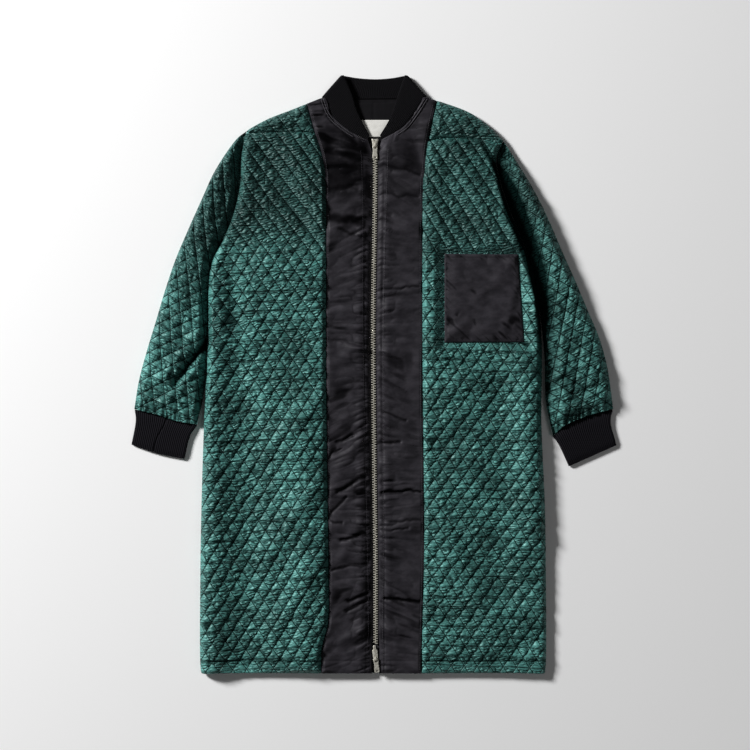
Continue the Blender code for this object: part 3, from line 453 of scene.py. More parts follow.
# Heights of the fronts' quilting: the arch of a row, the dome of a triangle, and the puckers
ROW_ARCH, DOME, PUCKER = 0.0011, 0.0024, 0.0042
# Heights of the arches that rising and falling lines draw in, and what tight cloth adds
RISING, FALLING, TIGHT = 0.0012, 0.0026, 0.0024
# The hem's stitching: its height over the hem, its groove's half width, and how deep it is
HEM_STITCH, HEM_GROOVE, HEM_SUNK = 0.0235, 0.0022, 0.0030
# The pocket holds the right front flat
POCKET_CORNERS = ((0.1325, 0.059), (0.282, 0.060), (0.271, 0.225), (0.1325, 0.226))
POCKET_LOW = 0.0124
# Folds: both ends of the line, half the width, and the rise or the drop
LEFT_FOLDS = (
    (-0.300, 0.16, -0.303, -0.55, 0.024, 0.0070), (-0.232, 0.02, -0.236, -0.54, 0.030, -0.0045),
    (-0.266, 0.20, -0.256, 0.0, 0.020, -0.0045), (-0.135, -0.08, -0.128, -0.54, 0.034, 0.0060),
    (-0.205, 0.415, -0.128, 0.285, 0.020, -0.0050), (-0.236, 0.42, -0.240, 0.30, 0.014, 0.0050),
    (-0.150, 0.42, -0.104, 0.30, 0.020, 0.0045), (-0.26, 0.250, -0.10, 0.248, 0.024, -0.0040),
    (-0.20, 0.215, -0.11, 0.16, 0.026, 0.0045), (-0.20, 0.095, -0.12, 0.050, 0.014, -0.0034),
    (-0.230, -0.17, -0.105, -0.05, 0.018, 0.0032), (-0.200, -0.34, -0.105, -0.20, 0.018, 0.0040),
    (-0.185, -0.47, -0.105, -0.35, 0.018, 0.0040), (-0.290, 0.10, -0.200, -0.06, 0.018, 0.0030))
RIGHT_FOLDS = (
    (0.285, 0.06, 0.296, -0.28, 0.024, 0.0060), (0.232, 0.02, 0.236, -0.42, 0.030, -0.0035),
    (0.115, 0.40, 0.112, 0.02, 0.020, 0.0036), (0.150, 0.43, 0.232, 0.25, 0.024, 0.0046),
    (0.120, -0.03, 0.290, 0.03, 0.024, 0.0036), (0.125, -0.14, 0.240, -0.06, 0.020, -0.0028),
    (0.110, -0.22, 0.150, -0.34, 0.020, 0.0034), (0.170, -0.20, 0.300, -0.30, 0.022, 0.0026),
    (0.130, -0.38, 0.220, -0.46, 0.020, 0.0034), (0.190, -0.34, 0.300, -0.44, 0.020, -0.0030),
    (0.230, -0.54, 0.310, -0.50, 0.018, -0.0035), (0.240, 0.36, 0.302, 0.12, 0.012, 0.0080))


# The painted shadow along the right armhole: heights, with its sides nearer and farther from the zip
ARMHOLE_SHADOW = ((0.446, 0.194, 0.198), (0.429, 0.201, 0.209), (0.402, 0.214, 0.227),
          (0.374, 0.227, 0.250), (0.346, 0.235, 0.268), (0.301, 0.243, 0.285),
          (0.252, 0.266, 0.298), (0.196, 0.284, 0.318), (0.139, 0.300, 0.323),
          (0.102, 0.306, 0.322), (0.0, 0.312, 0.3225), (-0.06, 0.316, 0.322))


def from_line(x, y, x0, y0, x1, y1):
    """How far a place is from a straight line, and how far along it the nearest part lies."""
    long = (x1 - x0) ** 2 + (y1 - y0) ** 2
    t = np.clip(((x - x0) * (x1 - x0) + (y - y0) * (y1 - y0)) / long, 0, 1)
    return np.hypot(x - x0 - t * (x1 - x0), y - y0 - t * (y1 - y0)), t


def rise(x, y, folds):
    """Height of folds: each is a bell across the distance from a straight line."""
    total = np.zeros_like(x)
    for *line, half, height in folds:
        total = total + height * np.exp(-(from_line(x, y, *line)[0] / half) ** 2)
    return total


def pull(x, y):
    """How far the rising and the falling stitch lines draw in: rising below, falling above.

    The third result is how tight the cloth is on the chest, where the other lines fade and
    painted shade darkens it.
    """
    chest = smooth_step(-0.11, 0.03, y + 0.3 * (x + 0.20) * (x < 0) - 0.06 * (x > 0))
    drift = 0.5 + 0.5 * np.sin(11 * x + 5 * y + 2) * np.cos(7 * y - 3 * x)
    drawn = smooth_step(0.195, 0.270, y + 0.1 * x) * np.where(x < 0, 1.0, 0.7)
    falling = FALLING * chest * (0.6 + 0.4 * drift) + TIGHT * drawn
    return RISING * (1 - chest) * (0.5 + 0.5 * drift), falling, drawn


def painted_armhole_shadow(x, y):
    """1 in the painted shadow along the right armhole, between its two drawn sides."""
    first = np.interp(y, *np.array(ARMHOLE_SHADOW)[::-1, (0, 1)].T)
    last = np.interp(y, *np.array(ARMHOLE_SHADOW)[::-1, (0, 2)].T)
    inside = smooth_step(-0.005, 0.004, x - first) * smooth_step(-0.006, 0.006, last - x)
    return inside * smooth_step(-0.02, 0.08, y)


def beyond(corners, x, y):
    """How far a place is outside the nearest side of a four-sided patch, negative inside it."""
    far = np.full_like(x, -1.0)
    for (x0, y0), (x1, y1) in zip(corners, [*corners[1:], corners[0]]):
        side = ((x - x0) * (y1 - y0) - (y - y0) * (x1 - x0)) / math.hypot(x1 - x0, y1 - y0)
        far = np.maximum(far, side)
    return far


def front_top(plan, side, folds):
    """Height of a quilted panel: the rolled edge, then its folds and its puffs.

    Folds and puffs fade towards the edges. The hem's stitching sinks in as a bell, the crests
    over FRONT_HIGH are pressed flatter, and the right panel stays just under its pocket. The
    marks give painted shade in the creases, the hem's stitching and the right armhole's hollow.
    """
    x, y = plan[..., 0], plan[..., 1]
    edge = from_edge(plan)
    by_band = np.linspace(1, 0, plan.shape[1])[None] ** 3
    inner = np.clip(edge / (0.009 - 0.002 * by_band), 0.15, 1)
    along, up = lattice(x, y, QUILT_TURN[side], QUILT_CROSSING[side])
    slash, backslash, drawn = pull(x, y)
    rows, dome = ROW_ARCH * (1 - 0.8 * drawn), DOME * (1 - 0.7 * drawn)
    puff, crease_shade = quilting(along, up, rows, slash, backslash, dome, PUCKER - 0.0016 * drawn)
    puff, crease_shade = puff * inner, crease_shade * inner
    by_seam = np.linspace(0, 1, plan.shape[0])[:, None] ** 40
    start = FRONT_EDGE + EDGE_LIFT * np.maximum(by_band, by_seam)
    body = start + (FRONT_WALL - start) * rolled(edge, EDGE_ROLL)
    from_hem = y - HEM_Y
    sewn = np.exp(-((from_hem - HEM_STITCH) / HEM_GROOVE) ** 2)
    below = smooth_step(HEM_STITCH, HEM_STITCH - 0.006, from_hem)
    puff = puff * (1 - 0.60 * below) - HEM_SUNK * sewn * inner
    # Painted shade in the hem's stitching
    crease_shade = np.maximum(crease_shade * (1 - 0.8 * below), 0.75 * sewn)
    top = FRONT_LOW + body + rise(x, y, folds) * inner + puff
    top = np.minimum(top, FRONT_HIGH + 0.45 * (top - FRONT_HIGH))
    held = POCKET_LOW - SEAM_GAP + 0.5 * np.clip(beyond(POCKET_CORNERS, x, y) - 0.001, 0, 1)
    # Painted shadow in the hollow along the right armhole
    crease_shade = np.maximum(crease_shade, painted_armhole_shadow(x, y))
    return np.minimum(top, held), (along, up), {"painted_shade": crease_shade, "drawn": drawn}


def ring_faces(rings, count):
    """Quads between closed rings of count points each, numbered ring by ring."""
    turn = np.arange(count)
    first, ahead = np.arange(rings - 1)[:, None] * count, np.roll(turn, -1)
    quads = [first + turn, first + ahead, first + count + ahead, first + count + turn]
    return np.stack(quads, axis=-1).reshape(-1, 4)


def copied(faces, size, count):
    """The faces of count equal bodies of size points each, numbered one after another."""
    return (faces[None] + size * np.arange(count)[:, None, None]).reshape(-1, 4)


def stitches(name, line, look, pitch=0.0032, long=0.0026, radius=0.00045):
    """Threads along a line of places, each a six-sided spindle that dips into the cloth.

    Each takes its direction from the line. Four rings of one section make its body.
    """
    run = run_of(line)
    at = np.arange(pitch / 2, run[-1], pitch)
    middle = np.column_stack([np.interp(at, run, column) for column in line.T])
    ahead = np.column_stack([np.interp(at + pitch / 4, run, column) for column in line.T])
    behind = np.column_stack([np.interp(at - pitch / 4, run, column) for column in line.T])
    way = ahead - behind
    way /= np.linalg.norm(way, axis=1)[:, None]
    side = np.cross([0.0, 0.0, 1.0], way)
    side /= np.linalg.norm(side, axis=1)[:, None]
    lift = np.cross(way, side)
    turn = np.linspace(0, 2 * math.pi, 6, endpoint=False)
    rings = []
    for step, share, sink in ((-0.5, 0.45, 1.1), (-0.26, 1.0, 0.0), (0.26, 1.0, 0.0),
                              (0.5, 0.45, 1.1)):
        round_section = (side[:, None] * np.cos(turn)[:, None] + lift[:, None]
                         * (np.sin(turn)[:, None])) * share * radius
        centre = middle + way * step * long - lift * sink * radius
        rings.append(centre[:, None] + round_section)
    points = np.stack(rings, axis=1).reshape(-1, 3)
    ends = [[3, 2, 1, 0], [5, 4, 3, 0], [18, 19, 20, 21], [18, 21, 22, 23]]
    faces = copied(np.vstack([ring_faces(4, 6), ends]), 24, len(at))
    thread = make_piece(name, points, faces[:, ::-1].tolist())
    thread.data.materials.append(look)
    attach(thread, "coat")


def sewing_thread(name, dark, pale):
    """Spun thread, a little duller and paler than the satin that it holds."""
    material, surface, shade = finish(name, Specular_IOR_Level=0.3)
    place = shade.own_place()
    fuzz = shade.noise(place, (900, 900, 900), 1.0)
    colour = shade.blend(fuzz, dark, pale)
    connect_surface(surface, shade, colour, 0.6 + fuzz * 0.3)
    return material


green_thread = sewing_thread("green_thread", (0.012, 0.060, 0.054, 1), (0.050, 0.190, 0.170, 1))
for side, outer, band, seam, folds in (
        ("left", LEFT_SIDE, LEFT_BAND_EDGE, LEFT_SHOULDER_SEAM, LEFT_FOLDS),
        ("right", RIGHT_SIDE, RIGHT_BAND_EDGE, RIGHT_SHOULDER_SEAM, RIGHT_FOLDS)):
    band_line, side_line = (soft_line(line, EDGE_PLACES)[::-1] for line in (band, outer))
    tall = round((seam[0][1] - HEM_Y) / FINE_UP)
    wide = round(abs(outer[-3][0] - band[-3][0]) / FINE_ACROSS)
    inner_line = soft_line(band_line[band_line[:, 1] < seam[0][1]], tall)
    outer_line = soft_line(side_line[side_line[:, 1] < seam[-1][1]], tall)
    sign = 1 if side == "right" else -1
    gap = np.array([sign * SEAM_GAP / 2, 0.0])
    hem_line = np.linspace(inner_line[0], outer_line[0], wide)
    top_line = soft_line([inner_line[-1], *seam[1:-1], outer_line[-1]], wide)
    plan = span(inner_line + gap, outer_line - gap, hem_line, top_line)
    top, cloth, marks = front_top(plan, side, folds)
    front = laid_sheet("quilted_front_" + side, plan, top, FRONT_LOW, cloth, marks)
    front.data.materials.append(quilt_look)
    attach(front, "coat")
    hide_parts("front_" + side)
    hem_row = np.argmin(np.abs(plan[:, wide // 2, 1] - HEM_Y - HEM_STITCH))
    stitches("hem_stitching_" + side, np.dstack([plan, top + 0.0001])[hem_row, 2:-2],
             green_thread)

# ---------------------------------------------------------------- shoulders
# The back's own cloth, brought forward over the shoulders and sewn to the fronts' top
# edges. It turns away from the light there, and painted shade darkens it. The seam below
# it is drawn up in waves.

SHOULDER_ROWS = 40
# How far the shoulder rises over the rim of a front, and the height of the seam's waves
SHOULDER_FULL, SEAM_WAVE = 0.0045, 0.0012

for side, top_points, band, seam in (
        ("left", LEFT_SHOULDER, LEFT_BAND_EDGE, LEFT_SHOULDER_SEAM),
        ("right", RIGHT_SHOULDER, RIGHT_BAND_EDGE, RIGHT_SHOULDER_SEAM)):
    band_line, over = soft_line(band, EDGE_PLACES)[::-1], soft_line(top_points, EDGE_PLACES)
    over = over[np.abs(over[:, 0]) >= abs(band[0][0])]
    sign = 1 if side == "right" else -1
    rows, wide = SHOULDER_ROWS, round(abs(top_points[-1][0] - band[1][0]) / FINE_ACROSS)
    inner_line = soft_line(band_line[band_line[:, 1] > seam[0][1] + SEAM_GAP], rows)
    low_line = soft_line(seam, wide) + [0.0, SEAM_GAP]
    high_line = soft_line([inner_line[-1], *over[40::40], top_points[-1]], wide)
    tip = np.linspace(low_line[-1], high_line[-1], rows)
    inner_line += [sign * SEAM_GAP / 2, 0.0]
    plan = span(inner_line, tip, low_line, high_line)
    x, y = plan[..., 0], plan[..., 1]
    edge = from_edge(plan)
    along, up = lattice(x, y, QUILT_TURN[side], QUILT_CROSSING[side])
    inner = np.clip(edge / 0.014, 0.1, 1)
    seam_wave = SEAM_WAVE * np.sin(2 * math.pi * x / 0.017 + 5 * np.sin(60 * x))
    near_seam = np.exp(-((np.arange(rows)[:, None] / 7.0) ** 2))
    puff, crease_shade = quilting(along, up, 0.0006, 0.0004, 0.0022, 0.0014, 0.0036)
    puff = puff * inner
    start = FRONT_EDGE + 0.0022 * np.linspace(1, 0, rows)[:, None] ** 3
    top = FRONT_LOW + start + (FRONT_EDGE + SHOULDER_FULL - start) * rolled(edge, 0.012) + puff
    top = top + seam_wave * near_seam * inner
    # Painted shade in the puckers' creases, and over the whole shoulder by its drawn share
    marks = {"painted_shade": crease_shade * inner, "drawn": np.full_like(x, 0.80)}
    shoulder = laid_sheet("quilted_shoulder_" + side, plan, top, FRONT_LOW, (along, up), marks)
    shoulder.data.materials.append(quilt_look)
    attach(shoulder, "coat")
    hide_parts("shoulder_" + side)

# ---------------------------------------------------------------- sleeves
# Each sleeve is one quilted panel sewn into a tube, with the grain along the arm. It lies
# flat beside the body, folded at both sides, and dips where its armhole seam holds it down.

LEFT_SLEEVE_OUT = (
    (-0.240, 0.457), (-0.263, 0.437), (-0.299, 0.383), (-0.325, 0.327), (-0.350, 0.271),
    (-0.374, 0.214), (-0.393, 0.158), (-0.410, 0.101), (-0.427, 0.045), (-0.442, -0.011),
    (-0.451, -0.066))
LEFT_CUFF_SEAM = ((-0.451, -0.066), (-0.402, -0.078), (-0.377, -0.087), (-0.333, -0.095))
RIGHT_SLEEVE_OUT = (
    (0.243, 0.439), (0.267, 0.402), (0.301, 0.346), (0.329, 0.289), (0.353, 0.233),
    (0.378, 0.177), (0.402, 0.120), (0.425, 0.064), (0.440, 0.007), (0.450, -0.066))
RIGHT_CUFF_SEAM = ((0.450, -0.066), (0.410, -0.076), (0.362, -0.095), (0.337, -0.117))
LEFT_SLEEVE_IN = ((-0.303, 0.216), (-0.311, 0.170), (-0.3125, 0.064), (-0.319, -0.030),
                  (-0.333, -0.095))
RIGHT_SLEEVE_IN = ((0.302, 0.175), (0.312, 0.113), (0.320, 0.034), (0.323, -0.050),
                   (0.337, -0.117))
SLEEVE_TURN = {"left": math.radians(-29.0), "right": math.radians(24.0)}
SLEEVE_FOLDS = {
    "left": ((-0.318, 0.058, -0.374, -0.020, 0.0065, -0.0095),
             (-0.334, 0.074, -0.396, -0.008, 0.011, 0.0050),
             (-0.330, 0.012, -0.392, -0.052, 0.010, 0.0040),
             (-0.258, 0.400, -0.296, 0.250, 0.010, -0.0040),
             (-0.285, 0.380, -0.340, 0.230, 0.014, 0.0032),
             (-0.392, 0.120, -0.345, 0.060, 0.012, -0.0035),
             (-0.350, 0.200, -0.385, 0.060, 0.014, 0.0034),
             (-0.440, -0.030, -0.350, -0.062, 0.006, -0.0035)),
    "right": ((0.300, 0.330, 0.372, 0.160, 0.014, 0.0032),
              (0.352, 0.110, 0.425, 0.040, 0.012, -0.0032),
              (0.345, 0.060, 0.360, -0.070, 0.016, 0.0032),
              (0.440, -0.010, 0.352, -0.060, 0.007, -0.0030),
              (0.395, 0.060, 0.420, -0.050, 0.014, 0.0028))}
SLEEVE_SIDE, SLEEVE_FULL, SLEEVE_WALL = 0.0050, 0.0150, 0.0020
SLEEVE_ROWS, SLEEVE_COLUMNS = 290, 62
# The tube's places underneath, and the rows of its lining
SLEEVE_UNDER, SLEEVE_LINING_ROWS = 24, 60
# The gap between sleeve and body, and the columns over which it opens at the shoulder
SLEEVE_GAP, EASE_COLUMNS = 0.0012, 6
# The gathers at the cuff: how far up they reach, and how thick the sleeve is there
GATHER_REACH, GATHER_THICK = 0.016, 0.0085
# How much lower the sleeve lies beside the body than in its middle
DIP_DEPTH = 0.0100
# The middle of the painted shade beside the body, its half length, and how dark it is
VALLEY = {"left": (-0.262, 0.320, 0.080, 0.30), "right": (0.285, 0.235, 0.150, 1.0)}
# How far the cloth beside the body stays down, and how far from it the sleeve is full
DIP = {"left": (0.002, 0.018), "right": (0.012, 0.040)}
# How dark the whole sleeve is, turned from the light
SHADED = {"left": 0.0, "right": 0.22}
# How much the sleeve is drawn tight and darkened with painted shade at its top, and between
# which heights that begins
DRAWN = {"left": (0.85, 0.14, 0.27), "right": (0.50, 0.20, 0.34)}
# The painted shade in the crease at the left elbow: its mouth beside the body and its far end
ELBOW = (-0.313, 0.060, -0.372, -0.012)


def from_places(x, y, line):
    """How far each place of a grid is from the nearest place of a finely divided line."""
    return np.hypot(x[..., None] - line[:, 0], y[..., None] - line[:, 1]).min(axis=-1)


def along_rows(plan, share):
    """Places of a grid's rows at shares of the way across, between its own columns."""
    at = share * (plan.shape[1] - 1)
    k = np.minimum(at.astype(int), plan.shape[1] - 2)
    t = (at - k)[..., None]
    row = np.arange(plan.shape[0])[:, None]
    return plan[row, k] * (1 - t) + plan[row, k + 1] * t


def flat_tube(name, plan, top, low, wall, under, inner_rows, cloth=None, marks=None):
    """A tube laid flat. One ring goes over the top and back underneath, a row at a time.

    The plan's rows give the ring's upper half. Its lower half is the same rows with only
    under places. The lining is the ring moved in from both folds and from both faces by the
    wall, with inner_rows rows, and the two are joined at the open ends.
    """
    rows, columns = top.shape
    back_share = np.linspace(1, 0, under + 2)[1:-1]
    low_plan = along_rows(plan, np.tile(back_share, (rows, 1)))
    low_z = along_rows(low[..., None], np.tile(back_share, (rows, 1)))[..., 0]
    ring = np.concatenate([plan, low_plan], axis=1)
    outer = np.dstack([ring, np.concatenate([top, low_z], axis=1)])
    width = np.linalg.norm(plan[:, -1] - plan[:, 0], axis=1)[:, None]
    share = np.concatenate([np.linspace(0, 1, columns), back_share])[None]
    moved = wall / width + share * (1 - 2 * wall / width)
    upper = np.arange(columns + under) < columns
    top_in = along_rows(top[..., None], moved)[..., 0] - wall
    low_in = along_rows(low[..., None], moved)[..., 0] + wall
    middle = (top_in + low_in) / 2
    top_in, low_in = np.maximum(top_in, middle + 0.0002), np.minimum(low_in, middle - 0.0002)
    end = (share == 0) | (share == 1)
    lining_z = np.where(end, middle, np.where(upper, top_in, low_in))
    lining = np.dstack([along_rows(plan, moved), lining_z])
    picked = np.round(np.linspace(0, rows - 1, inner_rows)).astype(int)
    lining = lining[picked]
    count = columns + under
    turn = np.arange(count)
    ahead = np.roll(turn, -1)
    base = rows * count
    last, last_in = (rows - 1) * count, base + (inner_rows - 1) * count
    faces = np.vstack([
        ring_faces(rows, count), base + ring_faces(inner_rows, count)[:, ::-1],
        np.column_stack([turn, base + turn, base + ahead, ahead]),
        np.column_stack([last + turn, last + ahead, last_in + ahead, last_in + turn])])
    if np.cross(plan[0, -1] - plan[0, 0], plan[-1, 0] - plan[0, 0]) < 0:
        faces = faces[:, ::-1]
    points = np.vstack([outer.reshape(-1, 3), lining.reshape(-1, 3)])
    if cloth is not None:
        flat = np.dstack(cloth)
        low_flat = along_rows(flat, np.tile(back_share, (rows, 1)))
        lining_flat = along_rows(flat, moved)[picked]
        cloth = np.vstack([np.concatenate([flat, low_flat], axis=1).reshape(-1, 2),
                           lining_flat.reshape(-1, 2)])
    hidden, lining_mark = np.zeros((rows, under)), np.zeros(inner_rows * count)
    marks = {key: np.concatenate([np.hstack([values, hidden]).ravel(), lining_mark])
             for key, values in (marks or {}).items()}
    return make_piece(name, points, faces.tolist(), cloth, marks)


for side, out, inner, cuff_seam, body_side in (
        ("left", LEFT_SLEEVE_OUT, LEFT_SLEEVE_IN, LEFT_CUFF_SEAM, LEFT_SIDE),
        ("right", RIGHT_SLEEVE_OUT, RIGHT_SLEEVE_IN, RIGHT_CUFF_SEAM, RIGHT_SIDE)):
    sign = 1 if side == "right" else -1
    armhole = soft_line(body_side[:body_side.index(inner[0]) + 1], SLEEVE_COLUMNS)
    armhole[:, 0] += sign * np.interp(np.arange(SLEEVE_COLUMNS), (0, EASE_COLUMNS),
                                      (SEAM_GAP, SLEEVE_GAP))
    out_line, in_line = soft_line(out, SLEEVE_ROWS), soft_line(inner, SLEEVE_ROWS)
    closing = np.linspace(1, 0, SLEEVE_ROWS)[:, None]
    in_line = in_line + np.array([sign * SLEEVE_GAP, 0.0]) * closing
    out_line[0] = armhole[0]
    cuff_line = soft_line(cuff_seam, SLEEVE_COLUMNS)
    plan = span(out_line, in_line, armhole, cuff_line)
    x, y = plan[..., 0], plan[..., 1]
    from_out, down = grid_runs(plan)
    from_cuff = down[-1:] - down
    fold_edge = np.minimum(from_out, from_out[:, -1:] - from_out)
    beside_body = from_places(x, y, soft_line(body_side, 400))
    soft = np.clip(fold_edge / 0.014, 0.1, 1)
    dip = smooth_step(*DIP[side], beside_body)
    gather = np.exp(-(from_cuff / GATHER_REACH) ** 2)
    along, up = lattice(x, y, SLEEVE_TURN[side], (0.0, 0.0))
    drawn = DRAWN[side][0] * smooth_step(*DRAWN[side][1:], y)
    puff, crease_shade = quilting(along, up, 0.0008 * (1 - drawn), 0.0006 * (1 - drawn),
                            0.0018 + 0.0014 * drawn, 0.0022 * (1 - 0.6 * drawn), 0.0036)
    puff = puff * soft * (0.3 + 0.7 * dip)
    # Painted shade: over the sleeve, beside the body, in the armhole's shadow and the elbow's crease
    valley_x, valley_y, valley_half, dark = VALLEY[side]
    wedge = np.exp(-((x - valley_x) ** 2 + (y - valley_y) ** 2) / valley_half ** 2)
    crease_shade = crease_shade + SHADED[side] + dark * (1 - dip) * (0.25 + 0.75 * wedge)
    if side == "right":
        crease_shade = crease_shade + painted_armhole_shadow(x, y)
    else:
        away, t = from_line(x, y, *ELBOW)
        crease_shade = crease_shade + (1.3 - 0.7 * t) * np.exp(-(away / (0.0075 - 0.0045 * t)) ** 2)
    crease_shade = np.clip(crease_shade, 0, 1)
    crimp = 0.0014 * np.sin(2 * math.pi * from_out / 0.011 + 3 * np.sin(90 * from_out))
    full = SLEEVE_FULL - (SLEEVE_FULL - GATHER_THICK) * gather - DIP_DEPTH * (1 - dip)
    top = SLEEVE_SIDE + (full - SLEEVE_SIDE) * rolled(fold_edge, 0.012)
    top = top + (rise(x, y, SLEEVE_FOLDS[side]) + crimp * gather) * soft + puff * (1 - 0.6 * gather)
    low = SLEEVE_SIDE * (1 - rolled(fold_edge, 0.008))
    top = np.maximum(top, low + 1.8 * SLEEVE_WALL)
    sleeve = flat_tube("quilted_sleeve_" + side, plan, top, low, SLEEVE_WALL, SLEEVE_UNDER,
                       SLEEVE_LINING_ROWS, (along, up), {"painted_shade": crease_shade, "drawn": drawn})
    sleeve.data.materials.append(quilt_look)
    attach(sleeve, "coat")
    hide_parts("sleeve_" + side)

# ---------------------------------------------------------------- pocket
# A patch of black satin sewn on the wearer's left chest, flattening the quilting under it.
# It is plain, with a turned top edge, stitching close to its sides and a few soft creases
# with painted shade in them.

POCKET_ROWS, POCKET_COLUMNS = 100, 90
POCKET_WALL = 0.0015
# The pocket's top edge, and how far under it its hem is stitched
POCKET_TOP, POCKET_HEM = 0.2255, 0.006
POCKET_FOLDS = (
    (0.140, 0.070, 0.262, 0.215, 0.012, 0.0016), (0.240, 0.066, 0.276, 0.190, 0.009, 0.0014),
    (0.150, 0.215, 0.200, 0.120, 0.010, 0.0011), (0.150, 0.090, 0.215, 0.150, 0.007, -0.0010))
# The black satin's colour of painted shade, then its duller and fuller tones
BLACK_PAINTED_SHADE = (0.002, 0.0018, 0.0024, 1)
BLACK_DULL, BLACK_FULL = (0.018, 0.0167, 0.0205, 1), (0.031, 0.0285, 0.0345, 1)


def black_satin():
    """Plain black satin: fine cross threads, soft cloudy creases and a broad, low gloss."""
    material, surface, shade = finish("black_satin", IOR=1.5, Specular_IOR_Level=0.12)
    place = shade.own_place()
    cloud = shade.noise(place, (45, 75, 60), 2.0, 0.5)
    weave = shade.noise(place, (2500, 900, 900), 1.0)
    painted_dark = shade.mark("painted_shade")
    colour = shade.blend(shade.fade(cloud, 0.3, 0.7), BLACK_DULL, BLACK_FULL)
    # Painted shade where the mesh marks it: nearly black, and without gloss by a high metallic share
    colour = shade.blend(painted_dark * 0.92, colour, BLACK_PAINTED_SHADE)
    connect_surface(surface, shade, colour, 0.50 + cloud * 0.1, cloud * 0.0009 + weave * 0.00002, painted_dark * 0.8)
    return material


def four_sided(corners, rows, columns):
    """A grid between four corners, given anticlockwise from the low left one."""
    a, b, c, d = (np.array(p) for p in corners)
    return span(np.linspace(a, d, rows), np.linspace(b, c, rows), np.linspace(a, b, columns),
                np.linspace(d, c, columns))


satin_look = black_satin()
plan = four_sided(POCKET_CORNERS, POCKET_ROWS, POCKET_COLUMNS)
edge = from_edge(plan)
inner = np.clip(edge / 0.008, 0, 1)
top = POCKET_LOW + POCKET_WALL * (0.45 + 0.55 * rolled(edge, 0.004))
top = top + 0.0012 * smooth_step(0.006, 0.022, edge)
x, y = plan[..., 0], plan[..., 1]
falling, rising = x - 0.9 * y, y + 0.9 * x
broad = crumple(falling, rising, 0.050, 0.034, 11)
sharp = smooth_step(0.20, 0.55, soft_noise(falling, rising, 0.030, 0.0080, 12))
some = smooth_step(-0.20, 0.25, soft_noise(falling, rising, 0.050, 0.040, 13))
tucks = crumple(edge, x + y, 0.020, 0.0085, 14)
# Painted shade in the creases, the tucks by the sides and the hem's stitching
crease_shade = sharp * some * np.clip(edge / 0.006, 0, 1)
at_side = smooth_step(0.020, 0.003, edge) * smooth_step(0.0, 0.003, edge)
crease_shade = np.maximum(crease_shade, creased(tucks) * at_side)
hemmed = np.exp(-((POCKET_TOP - y - POCKET_HEM) / 0.0012) ** 2)
folded = rise(x, y, POCKET_FOLDS) + 0.0030 * broad - 0.0009 * crease_shade - 0.0005 * hemmed
top = top + folded * inner
crease_shade = np.maximum(crease_shade, 0.45 * hemmed)
pocket = laid_sheet("patch_pocket", plan, top, POCKET_LOW, None, {"painted_shade": crease_shade * 0.85})
pocket.data.materials.append(satin_look)
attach(pocket, "coat")
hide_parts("pocket")

# ---------------------------------------------------------------- bands
# Straight strips of black satin from the neck to the hem. The zip is sewn in along their
# inner edges, and its stitching draws the satin up into short level puckers.

LEFT_NECK_SEAM = ((-0.012, 0.441), (-0.033, 0.450), (-0.058, 0.466), (-0.081, 0.489),
                  (-0.094, 0.520))
RIGHT_NECK_SEAM = ((0.015, 0.442), (0.036, 0.453), (0.057, 0.467), (0.076, 0.491),
                   (0.095, 0.521))
ZIP_LINE = ((0.002, 0.443), (0.002, 0.330), (-0.0013, 0.100), (0.0005, -0.150), (0.003, -0.360),
            (0.003, HEM_Y))
ZIP_SLIT = ((0.443, 0.0066), (0.424, 0.0066), (0.412, 0.0050), (-0.498, 0.0050),
            (-0.508, 0.0072), (HEM_Y, 0.0072))
BAND_LOW = 0.0082
BAND_ROWS, BAND_COLUMNS = 680, 58
BAND_FOLDS = (
    (-0.08, -0.22, -0.03, -0.13, 0.012, 0.0022), (-0.07, -0.36, -0.02, -0.27, 0.012, 0.0026),
    (0.02, 0.32, 0.08, 0.35, 0.011, 0.0022), (-0.08, 0.02, -0.02, 0.05, 0.012, 0.0020),
    (0.02, -0.30, 0.085, -0.245, 0.014, 0.0024))
# The deeper creases, told in the same way as the folds, with painted shade in them
BAND_CREASES = (
    (-0.108, 0.447, -0.016, 0.422, 0.009, -0.0034), (-0.086, 0.391, -0.024, 0.383, 0.011, -0.003),
    (-0.086, 0.297, -0.022, 0.286, 0.011, -0.003), (-0.064, 0.271, -0.015, 0.256, 0.0046, -0.002),
    (-0.088, 0.421, -0.026, 0.404, 0.01, -0.003), (-0.08, 0.345, -0.03, 0.35, 0.006, -0.0022),
    (-0.084, 0.066, -0.02, 0.052, 0.004, -0.0016), (-0.07, -0.128, -0.04, -0.118, 0.0036, -0.0026),
    (-0.085, -0.155, -0.072, -0.14, 0.0036, -0.002),
    (-0.068, -0.22, -0.017, -0.192, 0.0044, -0.003),
    (-0.08, -0.262, -0.052, -0.232, 0.0034, -0.002),
    (-0.082, -0.278, -0.06, -0.282, 0.0032, -0.0022),
    (-0.062, -0.313, -0.017, -0.3, 0.0046, -0.003), (-0.079, -0.366, -0.012, -0.36, 0.0034, -0.002),
    (-0.048, -0.427, -0.012, -0.409, 0.005, -0.003),
    (-0.052, -0.449, -0.018, -0.429, 0.004, -0.0024), (0.018, 0.393, 0.086, 0.376, 0.0052, -0.0022),
    (0.018, 0.338, 0.083, 0.333, 0.0042, -0.002), (0.016, 0.16, 0.084, 0.164, 0.003, -0.002),
    (0.019, -0.07, 0.06, -0.087, 0.0034, -0.0022), (0.015, -0.13, 0.049, -0.126, 0.003, -0.0024),
    (0.015, -0.222, 0.09, -0.22, 0.003, -0.003), (0.019, -0.274, 0.088, -0.276, 0.0034, -0.002),
    (0.015, -0.295, 0.064, -0.29, 0.0028, -0.0018), (0.02, -0.422, 0.088, -0.429, 0.0036, -0.0034))
# How far from the zip's slit the band is sewn down to the tape
TOPSTITCH = 0.0115
# Ridges beside the neck seam, each under a row of stitching, and the grooves outside them,
# with painted shade in the grooves
NECK_THREADS, NECK_GROOVES = (0.0024, 0.0066), (0.0046, 0.0090)
